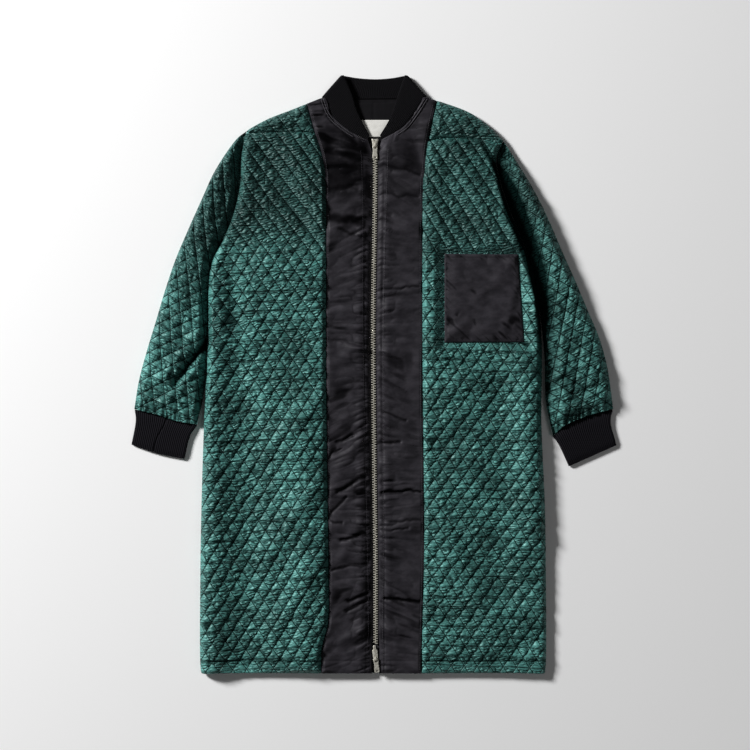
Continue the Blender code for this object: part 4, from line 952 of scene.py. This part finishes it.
# The rows of a band's grid that lie near the neck
NECK_ROWS = 70
# Heights of the satin's short, tiny and broad pillows, and depths of streaks and comb lines
SHORT, TINY, BROAD, STREAK, COMB = 0.0042, 0.0020, 0.0060, 0.0010, 0.0008
# The height at which the zip draws up few streaks, and half the length of that stretch
CALM_Y, CALM_HALF = -0.082, 0.034
zip_path = soft_line(ZIP_LINE, 1200)[::-1]
slit_y, slit_half = np.array(ZIP_SLIT)[::-1].T


def zip_gathers(x, y):
    """Height and creases of satin drawn up by the zip, short and level over broad pillows.

    Each size is a seeded noise with its own cells. Those near the zip fade with the distance
    from it as a bell. The second result is the painted shade in the creases, streaks and comb
    lines, with broad dark patches high up; the right band, which lies smoother, has half of it.
    """
    away = np.abs(x)
    slant = y + 0.30 * away * np.sin(17 * y + 2.5 * np.sign(x)) + 0.2 * away
    near = 0.25 + 0.75 * np.exp(-((away - 0.006) / 0.034) ** 2)
    short = crumple(away, slant, 0.034, 0.0105, 5) * near
    tiny = crumple(away, slant, 0.016, 0.0062, 7) * near ** 2
    broad = crumple(away * 0.9 + 0.1 * y, slant, 0.052, 0.037, 6)
    streak = smooth_step(0.10, 0.70, soft_noise(x + 0.2 * y, slant, 0.030, 0.0062, 8))
    streak = streak * smooth_step(-0.25, 0.35, soft_noise(x, slant, 0.050, 0.060, 9))
    fan = y + 0.35 * away * np.sign(x) * np.cos(31 * y)
    comb = smooth_step(0.10, 0.60, soft_noise(away, fan, 0.024, 0.0042, 15))
    comb = comb * np.exp(-(np.clip(away - 0.008, 0, 1) / 0.011) ** 2)
    high = smooth_step(0.24, 0.40, y) * np.where(x < 0, 1.0, 0.45)
    broad_dark = high * smooth_step(-0.50, 0.50, soft_noise(x, y + 0.45 * x, 0.070, 0.026, 16))
    share = np.where(x < 0, 1.0, 0.5)
    streak = streak * (1 - 0.75 * np.exp(-((y - CALM_Y) / CALM_HALF) ** 2))
    painted_dark = np.max([creased(short / near) * near ** 1.5 * share, streak * share,
                   creased(tiny / near ** 2) * near ** 3 * share, comb * share, broad_dark], axis=0)
    height = SHORT * short ** 0.9 + TINY * tiny + BROAD * broad ** 1.5
    return height - STREAK * streak - COMB * comb, painted_dark


black_thread = sewing_thread("black_thread", (0.030, 0.028, 0.034, 1), (0.085, 0.081, 0.092, 1))
for side, band, neck, top_points in (("left", LEFT_BAND_EDGE, LEFT_NECK_SEAM, LEFT_SHOULDER),
                                     ("right", RIGHT_BAND_EDGE, RIGHT_NECK_SEAM, RIGHT_SHOULDER)):
    sign = 1 if side == "right" else -1
    outer_line = soft_line(band, BAND_ROWS)[::-1] - [sign * SEAM_GAP / 2, 0.0]
    slit = zip_path[zip_path[:, 1] < neck[0][1]].copy()
    slit[:, 0] += sign * np.interp(slit[:, 1], slit_y, slit_half)
    inner_line = soft_line(slit[::30], BAND_ROWS)
    neck_line = soft_line(neck, 60) - [sign * 0.0002, 0.0004]
    high_line = soft_line([outer_line[-1], *neck_line[::-6]], BAND_COLUMNS)
    inner_line[-1], high_line[-1] = neck_line[0], neck_line[0]
    hem_line = np.linspace(inner_line[0], outer_line[0], BAND_COLUMNS)
    plan = span(inner_line, outer_line, hem_line, high_line[::-1])
    x, y = plan[..., 0], plan[..., 1]
    edge = from_edge(plan)
    inner = np.clip(edge / 0.006, 0.05, 1)
    from_zip = np.abs(x - np.interp(y, zip_path[:, 1], zip_path[:, 0])) - 0.005
    valley = 0.0030 * (1 - np.exp(-np.clip(from_zip, 0, 1) / 0.009))
    sewn = 0.0007 * np.exp(-((from_zip - TOPSTITCH) / 0.0016) ** 2)
    sewn = sewn + 0.0006 * np.exp(-((y - HEM_Y - HEM_STITCH) / 0.0016) ** 2)
    near_seam = np.exp(-(edge / 0.004) ** 2)
    top = BAND_LOW + 0.0013 + valley - sewn * inner
    gathers, crease_shade = zip_gathers(x, y)
    gathers = gathers * (0.45 + 0.55 * smooth_step(0.002, 0.024, from_zip))
    drift = 0.0034 * soft_noise(x, y, 0.018, 0.022, 17)
    drift = drift + 0.0012 * soft_noise(x, y, 0.007, 0.009, 18)
    pressed = rise(x, y + drift, BAND_CREASES)
    top = top + (gathers - 0.0006 + rise(x, y, BAND_FOLDS) + pressed) * inner
    # Painted shade in the deeper creases
    crease_shade = np.maximum(crease_shade, smooth_step(0.0004, 0.0030, -pressed))
    top = np.maximum(top, BAND_LOW + 0.0009) - 0.0004 * near_seam
    fine_neck = soft_line(neck, 400)
    from_neck = np.ones_like(x)
    from_neck[-NECK_ROWS:] = from_places(x[-NECK_ROWS:], y[-NECK_ROWS:], fine_neck)
    groove = sum(np.exp(-((from_neck - away) / 0.0011) ** 2) for away in NECK_GROOVES)
    ridge = sum(np.exp(-((from_neck - away) / 0.0012) ** 2) for away in NECK_THREADS)
    top = top + 0.0006 * ridge - 0.0005 * groove
    # Painted shade in the creases and in the grooves by the neck
    band_piece = laid_sheet("satin_band_" + side, plan, top, BAND_LOW, None,
                            {"painted_shade": np.maximum(crease_shade * inner, 0.95 * np.clip(groove, 0, 1))})
    band_piece.data.materials.append(satin_look)
    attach(band_piece, "coat")
    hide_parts("band_" + side)
    way = np.gradient(fine_neck, axis=0)
    outward = np.column_stack([way[:, 1], -way[:, 0]]) / np.linalg.norm(way, axis=1)[:, None]
    near_x, near_y, near_top = (values[-NECK_ROWS:].ravel() for values in (x, y, top))
    for number, away in enumerate(NECK_THREADS):
        line = fine_neck[8:-8] + sign * away * outward[8:-8]
        nearest = np.argmin(np.hypot(line[:, :1] - near_x, line[:, 1:] - near_y), axis=1)
        stitches("neck_stitching_%s_%d" % (side, number + 1),
                 np.column_stack([line, near_top[nearest] + 0.0002]), black_thread,
                 long=0.0031, radius=0.0007)
    edge_line = np.dstack([plan, top + 0.0002])[4:-6, -3]
    stitches("edge_stitching_" + side, edge_line, black_thread, radius=0.0004)
    at = np.argmin(np.abs(from_zip[300] - TOPSTITCH))
    sewn_line = np.dstack([plan, top + 0.0002])[4:-6, at]
    stitches("topstitching_" + side, sewn_line, black_thread if side == "right" else satin_look)

# ---------------------------------------------------------------- neck facing and label
# Behind the neck opening lies the black facing, with a plain woven label sewn to it.

FACING_LOW, FACING_WALL, FACING_GRID = 0.0054, 0.0012, (44, 90)
FACING = ((-0.078, 0.436), (0.078, 0.436), (0.082, 0.512), (-0.078, 0.512))
# How far the facing reaches past the back's neckline, and how low its edge hangs there
FACING_LAP, FACING_HANG = 0.0012, 0.0042
LABEL_LOW, LABEL_WALL, LABEL_GRID = 0.0070, 0.0008, (24, 44)
LABEL = ((-0.030, 0.446), (0.034, 0.446), (0.034, 0.478), (-0.030, 0.478))


def facing_in_painted_shade():
    """Matt black lining cloth, darker than the satin as painted shade of the neck."""
    material, surface, shade = finish("facing_in_painted_shade", Specular_IOR_Level=0.1)
    place = shade.own_place()
    cloud = shade.noise(place, (60, 60, 60), 2.0)
    weave = shade.noise(place, (1500, 1500, 900), 1.0)
    colour = shade.blend(cloud, (0.003, 0.0028, 0.0035, 1), (0.009, 0.0085, 0.010, 1))
    connect_surface(surface, shade, colour, 0.8 + cloud * 0.1, cloud * 0.0006 + weave * 0.00003)
    return material


def woven_label():
    """White woven tape with close ribs across it."""
    material, surface, shade = finish("woven_label", Sheen_Weight=0.2)
    place = shade.own_place()
    cloud = shade.noise(place, (90, 90, 90), 3.0)
    ribs = shade.noise(place, (300, 2600, 300), 1.0)
    colour = shade.blend(cloud, (0.62, 0.61, 0.57, 1), (0.80, 0.79, 0.75, 1))
    connect_surface(surface, shade, colour, 0.65 + cloud * 0.2, ribs * 0.00008 + cloud * 0.0006)
    return material


plan = four_sided(FACING, *FACING_GRID)
lap = np.interp(plan[..., 0], *soft_line(NECKLINE, 60).T) + FACING_LAP - FACING[2][1]
plan[..., 1] += lap * smooth_step(0.470, FACING[2][1], plan[..., 1])
low = np.full(plan.shape[:2], FACING_LOW)
low[-1] = FACING_HANG
edge = from_edge(plan)
pleat = 0.0008 * np.exp(-((plan[..., 0] + 0.001) / 0.003) ** 2) * (plan[..., 1] > 0.478)
top = FACING_LOW + FACING_WALL * (0.6 + 0.4 * rolled(edge, 0.003)) - 0.5 * pleat
facing = laid_sheet("satin_neck_facing", plan, top, low)
facing.data.materials.append(facing_in_painted_shade())
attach(facing, "coat")
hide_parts("neck_facing")

plan = four_sided(LABEL, *LABEL_GRID)
edge = from_edge(plan)
top = LABEL_LOW + LABEL_WALL * (0.5 + 0.5 * rolled(edge, 0.001))
top = top + 0.0006 * np.sin(plan[..., 0] * 70 + 1) * np.clip(edge / 0.01, 0, 1)
label = laid_sheet("blank_neck_label", plan, top, LABEL_LOW)
label.data.materials.append(woven_label())
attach(label, "coat")
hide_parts("neck_label")

# ---------------------------------------------------------------- cuffs
# Rib-knit tubes, folded double at the hem and sewn to the gathered sleeve ends.

LEFT_CUFF_OUT = ((-0.451, -0.067), (-0.449, -0.090), (-0.457, -0.133))
LEFT_CUFF_HEM = ((-0.457, -0.133), (-0.410, -0.149), (-0.357, -0.160))
LEFT_CUFF_IN = ((-0.333, -0.095), (-0.347, -0.119), (-0.357, -0.160))
RIGHT_CUFF_OUT = ((0.450, -0.067), (0.446, -0.092), (0.457, -0.134))
RIGHT_CUFF_HEM = ((0.457, -0.134), (0.412, -0.154), (0.367, -0.174))
RIGHT_CUFF_IN = ((0.337, -0.117), (0.349, -0.135), (0.367, -0.174))
RIB_PITCH, RIB_RISE = 0.0034, 0.0005
CUFF_ROWS, CUFF_LINING_ROWS = 26, 6
CUFF_DEPTH, CUFF_HALF, CUFF_WALL, CUFF_ROLL = 0.072, 0.0038, 0.0016, 0.0045


def rib_knit(name, dark, light):
    """Black rib knit, whose UV runs across the ribs and along them, in metres.

    Each rib is a wave across, with painted shade, nearly black and without gloss, between the
    ribs. Along it lie slanting stitches, a fine sine of both coordinates.
    """
    material, surface, shade = finish(name, Specular_IOR_Level=0.1)
    place, across, along = shade.cloth_place()
    valley = across.near_line(RIB_PITCH, 0.0010)
    lean = shade.maths("PINGPONG", across, RIB_PITCH / 4)
    stitch = shade.maths("SINE", (along + lean) * (2 * math.pi / 0.0014))
    fuzz = shade.noise(place, (900, 900, 1), 3.0, 0.6)
    colour = shade.blend(shade.fade(fuzz, 0.3, 0.7), dark, light)
    # Painted shade between the ribs
    colour = shade.blend(valley * 0.85, colour, (0.0008, 0.0007, 0.0010, 1))
    connect_surface(surface, shade, colour, 0.75 + fuzz * 0.2,
         stitch * 0.00007 + fuzz * 0.00025 - valley * 0.0004, valley * 0.7)
    return material


knit_look = rib_knit("cuff_knit", (0.0050, 0.0046, 0.0064, 1), (0.0120, 0.0112, 0.0150, 1))
for side, out, hem, inner_fold, cuff_seam in (
        ("left", LEFT_CUFF_OUT, LEFT_CUFF_HEM, LEFT_CUFF_IN, LEFT_CUFF_SEAM),
        ("right", RIGHT_CUFF_OUT, RIGHT_CUFF_HEM, RIGHT_CUFF_IN, RIGHT_CUFF_SEAM)):
    ribs = round(math.dist(hem[0], hem[-1]) / RIB_PITCH)
    columns = 5 * ribs + 1
    near = soft_line(cuff_seam, columns) - [0.0, 0.0006]
    plan = span(soft_line([near[0], *out[1:]], CUFF_ROWS),
                soft_line([near[-1], *inner_fold[1:]], CUFF_ROWS), near, soft_line(hem, columns))
    share = np.linspace(0, 1, columns)[None]
    from_fold = np.minimum(share, 1 - share) * ribs * RIB_PITCH
    wave = 0.5 - 0.5 * np.cos(2 * math.pi * share * ribs)
    step = np.linspace(0, 1, CUFF_ROWS)[:, None]
    rib = RIB_RISE * (wave - 0.5) * np.clip(from_fold / 0.003, 0, 1)
    swell = 1 - 0.25 * np.exp(-(step / 0.12) ** 2) - 0.30 * np.exp(-((1 - step) / 0.08) ** 2)
    half = CUFF_HALF * swell
    seam_at = 0.47 + 0.05 * np.cos(1.2 * math.pi * step)
    seam = np.exp(-((share - seam_at) * ribs * RIB_PITCH / 0.0011) ** 2) * (side == "left")
    top = half + half * rolled(from_fold, CUFF_ROLL) + rib - 0.0016 * seam
    low = half * (1 - rolled(from_fold, CUFF_ROLL))
    cloth = (np.tile(share * ribs * RIB_PITCH, (CUFF_ROWS, 1)),
             np.tile(step * CUFF_DEPTH, (1, columns)))
    cuff = flat_tube("knit_cuff_" + side, plan, top, low, CUFF_WALL, 2 * ribs, CUFF_LINING_ROWS,
                     cloth)
    cuff.data.materials.append(knit_look)
    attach(cuff, "coat")
    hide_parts("cuff_" + side)

# ---------------------------------------------------------------- collar
# A doubled strip of rib knit sewn round the neck. It narrows to the zip at both fronts,
# turns over at the sides and lies flat behind, where its inner face shows.

LEFT_COLLAR_TOP = ((-0.008, 0.448), (-0.021, 0.472), (-0.033, 0.498), (-0.042, 0.528),
                   (-0.057, 0.562))
RIGHT_COLLAR_TOP = ((0.011, 0.449), (0.028, 0.477), (0.036, 0.497), (0.046, 0.528),
                    (0.058, 0.562))
BACK_COLLAR_TOP = ((-0.057, 0.562), (-0.030, 0.5575), (0.003, 0.5555), (0.033, 0.5575),
                   (0.058, 0.562))
COLLAR_DEPTH, COLLAR_HALF = 0.065, 0.0017
COLLAR_FRONT_Z, COLLAR_BACK_Z = 0.0104, 0.0020
FRONT_RIBS, BACK_RIBS = 34, 48

# Stations round the neck: seam, free edge, the way that the strip faces, and its height
front_count, back_count, turn_count = 6 * FRONT_RIBS + 1, 6 * BACK_RIBS + 1, 15
turn = np.linspace(0, math.pi, turn_count)[1:-1]
reach_out = (COLLAR_FRONT_Z - COLLAR_BACK_Z) / 2
middle_z = (COLLAR_FRONT_Z + COLLAR_BACK_Z) / 2
seams, tops, faces_way = [], [], []
for neck, free, sign in ((LEFT_NECK_SEAM, LEFT_COLLAR_TOP, -1),
                         (RIGHT_NECK_SEAM, RIGHT_COLLAR_TOP, 1)):
    bulge = 0.0028 * np.sin(math.pi * np.minimum(np.linspace(0, 1, front_count), 0.5))
    fade_out = 1 - np.linspace(0, 1, front_count) * 0.75
    seam = np.column_stack([soft_line(neck, front_count), np.full(front_count, COLLAR_FRONT_Z)])
    free_edge = np.column_stack([soft_line(free, front_count), COLLAR_FRONT_Z + bulge * fade_out])
    round_turn = np.column_stack([sign * reach_out * np.sin(turn), np.zeros(turn_count - 2),
                                  middle_z + reach_out * np.cos(turn)])
    up_way = np.tile([0.0, 0.0, 1.0], (front_count, 1))
    turn_way = np.column_stack([sign * np.sin(turn), np.zeros(turn_count - 2), np.cos(turn)])
    seams.append(np.vstack([seam, round_turn + [*neck[-1], 0.0]]))
    tops.append(np.vstack([free_edge, round_turn + [*free[-1], 0.0]]))
    faces_way.append(np.vstack([up_way, turn_way]))
back_z = np.full(back_count, COLLAR_BACK_Z)
back_seam = np.column_stack([soft_line(NECKLINE, back_count), back_z])
back_free = np.column_stack([soft_line(BACK_COLLAR_TOP, back_count), back_z])
back_way = np.tile([0.0, 0.0, -1.0], (back_count, 1))
seam = np.vstack([seams[0], back_seam, seams[1][::-1]])
free = np.vstack([tops[0], back_free, tops[1][::-1]])
way = np.vstack([faces_way[0], back_way, faces_way[1][::-1]])
seam = seam + (free - seam) * 0.008
stations = len(seam)
walk = run_of((seam + free) / 2)
rib = RIB_RISE * 0.5 * np.cos(2 * math.pi * walk / RIB_PITCH)[:, None, None]

# The strip's section: up the outer face, over the folded edge, down the inner face
section = 24
t = np.linspace(0, 2 * math.pi, section, endpoint=False)[None, :, None]
flat_share = 0.5 - 0.5 * np.sign(np.cos(t)) * np.abs(np.cos(t)) ** 0.55
thick = np.sign(np.sin(t)) * np.abs(np.sin(t)) ** 0.45
body = seam[:, None] * (1 - flat_share) + free[:, None] * flat_share
points = body + way[:, None] * thick * (COLLAR_HALF + rib * np.abs(thick))
ring = np.arange(section)
faces = np.roll(ring_faces(stations, section), -1, axis=1).tolist()
faces = faces + [ring.tolist(), ((stations - 1) * section + ring)[::-1].tolist()]
cloth = np.column_stack([np.repeat(walk, section),
                         np.tile(flat_share.ravel() * COLLAR_DEPTH, stations)])
collar = make_piece("knit_collar", points.reshape(-1, 3), faces, cloth)
# The collar's knit is a darker copy of the cuffs': painted shade round the neck
collar.data.materials.append(rib_knit("collar_knit", (0.0022, 0.0021, 0.0027, 1),
                                      (0.0080, 0.0076, 0.0094, 1)))
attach(collar, "coat")
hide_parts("collar")

# ---------------------------------------------------------------- zip
# Two woven tapes with a row of metal teeth clamped on each edge, closed, so that the teeth
# of the left row stand in the gaps of the right one.

TAPE_LOW, TAPE_WALL, TAPE_TOP = 0.0056, 0.0011, 0.4354
# Where a tape begins and ends, from the zip's middle
TAPE_NEAR, TAPE_WIDE = 0.00025, 0.014
TAPE_ROWS, TAPE_COLUMNS = 200, 12
TOOTH_PITCH = 0.0047
TOP_HINGE = (0.0020, 0.4290)
BOTTOM_HINGE = (0.0034, -0.5365)
ZIP_ENDS = (BOTTOM_HINGE[1] + 0.0275, TOP_HINGE[1] - 0.0046)
# Half of a tooth's section from the tape to its nose: across the zip, half its thickness
TOOTH_ACROSS = (0.0042, 0.0028, 0.0014, 0.0, -0.0010)
TOOTH_HALF = (0.0009, 0.0011, 0.0010, 0.0011, 0.0005)
TOOTH_LOW, TOOTH_TOP, TOOTH_BEVEL = 0.0066, 0.0108, 0.0006


def zip_tape():
    """Black woven tape with a herringbone of fine ribs."""
    material, surface, shade = finish("zip_tape")
    place = shade.own_place()
    ribs = shade.noise(place, (2200, 700, 700), 1.0)
    colour = shade.blend(ribs, (0.006, 0.006, 0.007, 1), (0.016, 0.015, 0.018, 1))
    connect_surface(surface, shade, colour, 0.7 + ribs * 0.2, ribs * 0.0001)
    return material


def zip_metal():
    """Antique nickel: warm grey, duller and darker in cloudy patches, finely scratched."""
    material, surface, shade = finish("zip_metal", Metallic=0.45)
    place = shade.own_place()
    patina = shade.noise(place, (300, 300, 300), 3.0, 0.6)
    scratch = shade.noise(place, (3000, 400, 3000), 2.0)
    share = shade.fade(patina, 0.35, 0.65)
    colour = shade.blend(share, (0.38, 0.36, 0.30, 1), (0.74, 0.72, 0.64, 1))
    connect_surface(surface, shade, colour, 0.46 - share * 0.14 + scratch * 0.06,
         patina * 0.00006 + scratch * 0.00002)
    return material


tape_look, metal_look = zip_tape(), zip_metal()
for side, sign in (("left", -1), ("right", 1)):
    tape_y = np.linspace(HEM_Y + 0.001, TAPE_TOP, TAPE_ROWS)
    middle = np.column_stack([np.interp(tape_y, zip_path[:, 1], zip_path[:, 0]), tape_y])
    near, far = middle + [sign * TAPE_NEAR, 0.0], middle + [sign * TAPE_WIDE, 0.0]
    plan = span(near, far, np.linspace(near[0], far[0], TAPE_COLUMNS),
                np.linspace(near[-1], far[-1], TAPE_COLUMNS))
    tape = laid_sheet("zip_tape_" + side, plan, np.full(plan.shape[:2], TAPE_LOW + TAPE_WALL),
                      TAPE_LOW)
    tape.data.materials.append(tape_look)
    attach(tape, "coat")

    count = int((ZIP_ENDS[1] - ZIP_ENDS[0]) / TOOTH_PITCH) - 1
    at_y = ZIP_ENDS[0] + TOOTH_PITCH * (np.arange(count) + (1.0 if sign < 0 else 0.5))
    at_x = np.interp(at_y, zip_path[:, 1], zip_path[:, 0])
    across = sign * np.array(TOOTH_ACROSS)
    half = np.array(TOOTH_HALF)
    shape = []
    for z, share in ((TOOTH_LOW, 1.0), (TOOTH_TOP - TOOTH_BEVEL, 1.0), (TOOTH_TOP, 0.55)):
        x = np.concatenate([across, across[::-1]]) * (1.0 if share == 1.0 else 0.9)
        shape.append(np.column_stack([x + sign * (1 - share) * 0.0002,
                                      np.concatenate([half, -half[::-1]]) * share,
                                      np.full(10, z)]))
    shape = np.vstack(shape)
    points = shape[None] + np.column_stack([at_x, at_y, np.zeros(count)])[:, None]
    caps = np.vstack([[k, k + 1, 8 - k, 9 - k] for k in range(4)])
    faces = copied(np.vstack([ring_faces(3, 10), 20 + caps[:, ::-1], caps]), 30, count)
    faces = faces[:, ::-1] if sign > 0 else faces
    teeth = make_piece("zip_teeth_" + side, points.reshape(-1, 3), faces.tolist())
    teeth.data.materials.append(metal_look)
    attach(teeth, "coat")
    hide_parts("zip_" + side)

# ---------------------------------------------------------------- sliders and pulls
# Two cast sliders, each of an upper and a lower plate on a wedge, with a bridge on top. A
# flat pull with a window and a hole hangs on each bridge, and only the pulls can turn.

MM = 0.001
HINGE_Z = 12.95 * MM
BOTTOM_TURN = math.radians(6.0)
PLATE_ROUND = 0.6
# Lowest and highest of each plate, in millimetres from the hinge, and the flange's drop
UPPER_PLATE, LOWER_PLATE, WEDGE, FLANGE = (-2.95, -1.55), (-6.05, -5.05), (-5.3, -2.4), 0.9
PULL_HALF = 0.65
# Rows of (y, half width), in millimetres from the hinge
TOP_BODY = ((-4.0, 2.9), (-3.4, 3.5), (0.0, 4.5), (5.0, 5.0), (8.5, 5.7), (10.8, 6.4), (12.4, 6.7),
            (13.2, 6.3))
BOTTOM_BODY = ((-4.0, 2.9), (-3.4, 3.5), (0.0, 4.4), (8.0, 4.9), (15.0, 5.1), (17.5, 4.8),
               (18.6, 3.2), (19.5, 2.8), (25.4, 2.6), (26.0, 2.2))
NOTCH = ((8.6, 0.0), (10.0, 0.9), (12.2, 2.6), (13.2, 3.4))
SLOT = ((20.0, 0.0), (20.1, 0.7), (24.7, 0.7), (24.8, 0.0))
PULL = ((-25.0, 3.1), (-24.4, 4.1), (-23.3, 4.7), (-18.0, 4.7), (-13.0, 4.0), (-8.0, 4.0),
        (-4.0, 4.7), (0.3, 4.7), (0.75, 4.3))
WINDOW = ((-5.45, 0.0), (-5.4, 2.3), (-0.8, 2.3), (-0.75, 0.0))
HOLE_Y, HOLE_RADIUS = -21.8, 1.7
BRIDGE = ((-2.4, -2.2), (-2.4, 0.6), (-1.6, 1.75), (-0.2, 2.2), (1.6, 2.2), (3.4, 1.7), (4.5, 0.5),
          (4.75, -2.2))
BRIDGE_WIDE, BRIDGE_THICK = 1.2, 0.65


def punched_plate(outline, holes, low, top, flange=0.0):
    """Points and faces of a plate that is the same on both sides of its middle line.

    Each row has a half width, and a half hole that is 0 where there is none. A half of the
    row goes from the hole to the rim. The thickness is a quarter circle near every edge, and
    a flange is a drop with the fourth power of the way out. Walls close the rims and holes.
    """
    rows = np.unique(np.vstack([outline, *holes])[:, 0])
    half = np.interp(rows, *np.array(outline).T)
    hole = np.zeros(len(rows))
    for edge in holes:
        hole += np.interp(rows, *np.array(edge).T, left=0.0) * (rows <= edge[-1][0])
    share = np.array([0.0, 0.06, 0.2, 0.5, 0.8, 0.94, 1.0])
    wide = (half - hole)[:, None]
    from_rim = (1 - share) * wide
    from_hole = np.where(hole[:, None] > 0, share * wide, 9.0)
    from_end = np.minimum(rows - rows[0], rows[-1] - rows)[:, None]
    near = np.minimum(np.minimum(from_rim, from_hole), np.maximum(from_end, 0.0))
    thick = (top - low) * (0.4 + 0.6 * rolled(near, PLATE_ROUND))
    way_out = hole[:, None] / half[:, None] + share * wide / half[:, None]
    middle = (top + low) / 2 - flange * way_out ** 4
    count = len(share)
    quads = grid_faces(len(rows), count)
    first = np.arange(len(rows) - 1) * count
    rim = first + count - 1
    open_row = (hole[:-1] > 0) | (hole[1:] > 0)
    ends = np.concatenate([np.arange(count - 1), (len(rows) - 1) * count + np.arange(count - 1)])
    size = len(rows) * count
    points, faces = [], []
    for number, sign in enumerate((-1.0, 1.0)):
        x = sign * (hole[:, None] + share * wide)
        y = np.tile(rows[:, None], (1, count))
        points += [np.dstack([x, y, middle + thick / 2]), np.dstack([x, y, middle - thick / 2])]
        base = 2 * size * number
        faces += [base + quads, base + size + quads]
        for line, ahead in ((rim, count), (first[open_row], count), (ends, 1)):
            faces.append(base + np.column_stack([line, line + ahead, size + line + ahead,
                                                 size + line]))
    return np.vstack([grid.reshape(-1, 3) for grid in points]), np.vstack(faces)


def swept_bridge():
    """An arch over the hinge: a rounded section carried along a line of (y, z) places."""
    line = soft_line(BRIDGE, 26)
    way = np.gradient(line, axis=0)
    way /= np.linalg.norm(way, axis=1)[:, None]
    turn = np.linspace(0, 2 * math.pi, 10, endpoint=False)
    wide = BRIDGE_WIDE * np.sign(np.cos(turn)) * np.abs(np.cos(turn)) ** 0.6
    thick = BRIDGE_THICK * np.sign(np.sin(turn)) * np.abs(np.sin(turn)) ** 0.6
    x = np.tile(wide, (len(line), 1))
    y = line[:, :1] - way[:, 1:] * thick
    z = line[:, 1:] + way[:, :1] * thick
    caps = np.array([[0, 1, 8, 9], [1, 2, 7, 8], [2, 3, 6, 7], [3, 4, 5, 6]])
    last = (len(line) - 1) * 10
    faces = np.vstack([ring_faces(len(line), 10), caps, last + caps])
    return np.dstack([x, y, z]).reshape(-1, 3), faces


def metal_piece(name, parts, hinge, turn, droop, body):
    """Joins parts drawn round a hinge, turns them about it, and closes them with one mesh."""
    start, points, faces = 0, [], []
    for part_points, part_faces in parts:
        points.append(part_points)
        faces.append(part_faces + start)
        start += len(part_points)
    x, y, z = np.vstack(points).T * MM
    y, z = y * math.cos(droop) - z * math.sin(droop), y * math.sin(droop) + z * math.cos(droop)
    x, y = x * math.cos(turn) - y * math.sin(turn), x * math.sin(turn) + y * math.cos(turn)
    placed = np.column_stack([x + hinge[0], y + hinge[1], z + HINGE_Z])
    made = make_piece(name, placed, np.vstack(faces).tolist())
    shape = bmesh.new()
    shape.from_mesh(made.data)
    bmesh.ops.remove_doubles(shape, verts=shape.verts, dist=1e-6)
    bmesh.ops.recalc_face_normals(shape, faces=shape.faces)
    shape.to_mesh(made.data)
    shape.free()
    made.data.set_sharp_from_angle(angle=math.radians(50))
    made.data.materials.append(metal_look)
    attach(made, body)
    return made


round_turn = np.linspace(0, math.pi, 9)
pull_hole = [(HOLE_Y - HOLE_RADIUS * math.cos(t), HOLE_RADIUS * math.sin(t)) for t in round_turn]
pull_hole[0], pull_hole[-1] = (pull_hole[0][0], 0.0), (pull_hole[-1][0], 0.0)
for name, hinge, turn, droop, outline, opening in (
        ("top", TOP_HINGE, 0.0, 1.5, TOP_BODY, NOTCH),
        ("bottom", BOTTOM_HINGE, BOTTOM_TURN, 0.5, BOTTOM_BODY, SLOT)):
    head = outline[-3][0]
    wedge = ((head - 7.0, 0.3), (head - 4.0, 1.6), (head - 2.0, 1.6), (head - 0.8, 0.8))
    parts = [punched_plate(outline, [opening], *UPPER_PLATE, FLANGE),
             punched_plate(outline, [], *LOWER_PLATE), punched_plate(wedge, [], *WEDGE),
             swept_bridge()]
    slider = metal_piece("zip_slider_" + name, parts, hinge, turn, 0.0, "coat")
    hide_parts("slider_" + name)
    plate = punched_plate(PULL, [WINDOW, pull_hole], -PULL_HALF, PULL_HALF)
    pull = metal_piece("zip_pull_" + name, [plate], hinge, turn, math.radians(droop),
                       name + "_pull")
    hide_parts("pull_" + name)

# ---------------------------------------------------------------- studio
# A pale floor, a soft light on the left, a weak broad one on the right, a little light from
# all round, and a camera looking straight down.

FLOOR_SIZE = 6.0
corner = FLOOR_SIZE / 2
floor_mesh = bpy.data.meshes.new("floor")
floor_mesh.from_pydata([(-corner, -corner, 0), (corner, -corner, 0), (corner, corner, 0),
                        (-corner, corner, 0)], [], [(0, 1, 2, 3)])
floor = bpy.data.objects.new("floor", floor_mesh)
bpy.context.scene.collection.objects.link(floor)
floor_look, surface, shade = finish("pale_floor", Base_Color=(0.95, 0.95, 0.95, 1), Roughness=0.9)
floor_mesh.materials.append(floor_look)


def soft_light(name, place, size, power):
    """A square area light that looks at the middle of the coat."""
    data = bpy.data.lights.new(name, "AREA")
    data.size, data.energy = size, power
    light = bpy.data.objects.new(name, data)
    bpy.context.scene.collection.objects.link(light)
    light.location = place
    light.visible_camera = False
    x, y, z = place
    light.rotation_euler = (math.acos(z / math.hypot(x, y, z)), 0, math.atan2(-x, y) + math.pi)


soft_light("key", (-4.8, 2.9, 2.7), 1.2, 650)
soft_light("fill", (3.4, -1.2, 4.0), 2.4, 20)
bpy.context.scene.view_settings.view_transform = "Standard"
world = bpy.data.worlds.new("studio")
world.use_nodes = True
world.node_tree.nodes["Background"].inputs["Color"].default_value = (1, 1, 1, 1)
world.node_tree.nodes["Background"].inputs["Strength"].default_value = 0.04
bpy.context.scene.world = world

LENS, SENSOR = 102.0, 36.0
# The width of floor that the picture shows, and how far its middle is from the origin
VIEW_WIDTH = 1.41
FRAME_SHIFT = 0.00188
camera_data = bpy.data.cameras.new("camera")
camera_data.lens = LENS
camera_data.sensor_width = SENSOR
camera = bpy.data.objects.new("camera", camera_data)
bpy.context.scene.collection.objects.link(camera)
camera.location = (FRAME_SHIFT, -FRAME_SHIFT, 0.012 + VIEW_WIDTH * LENS / SENSOR)
bpy.context.scene.camera = camera
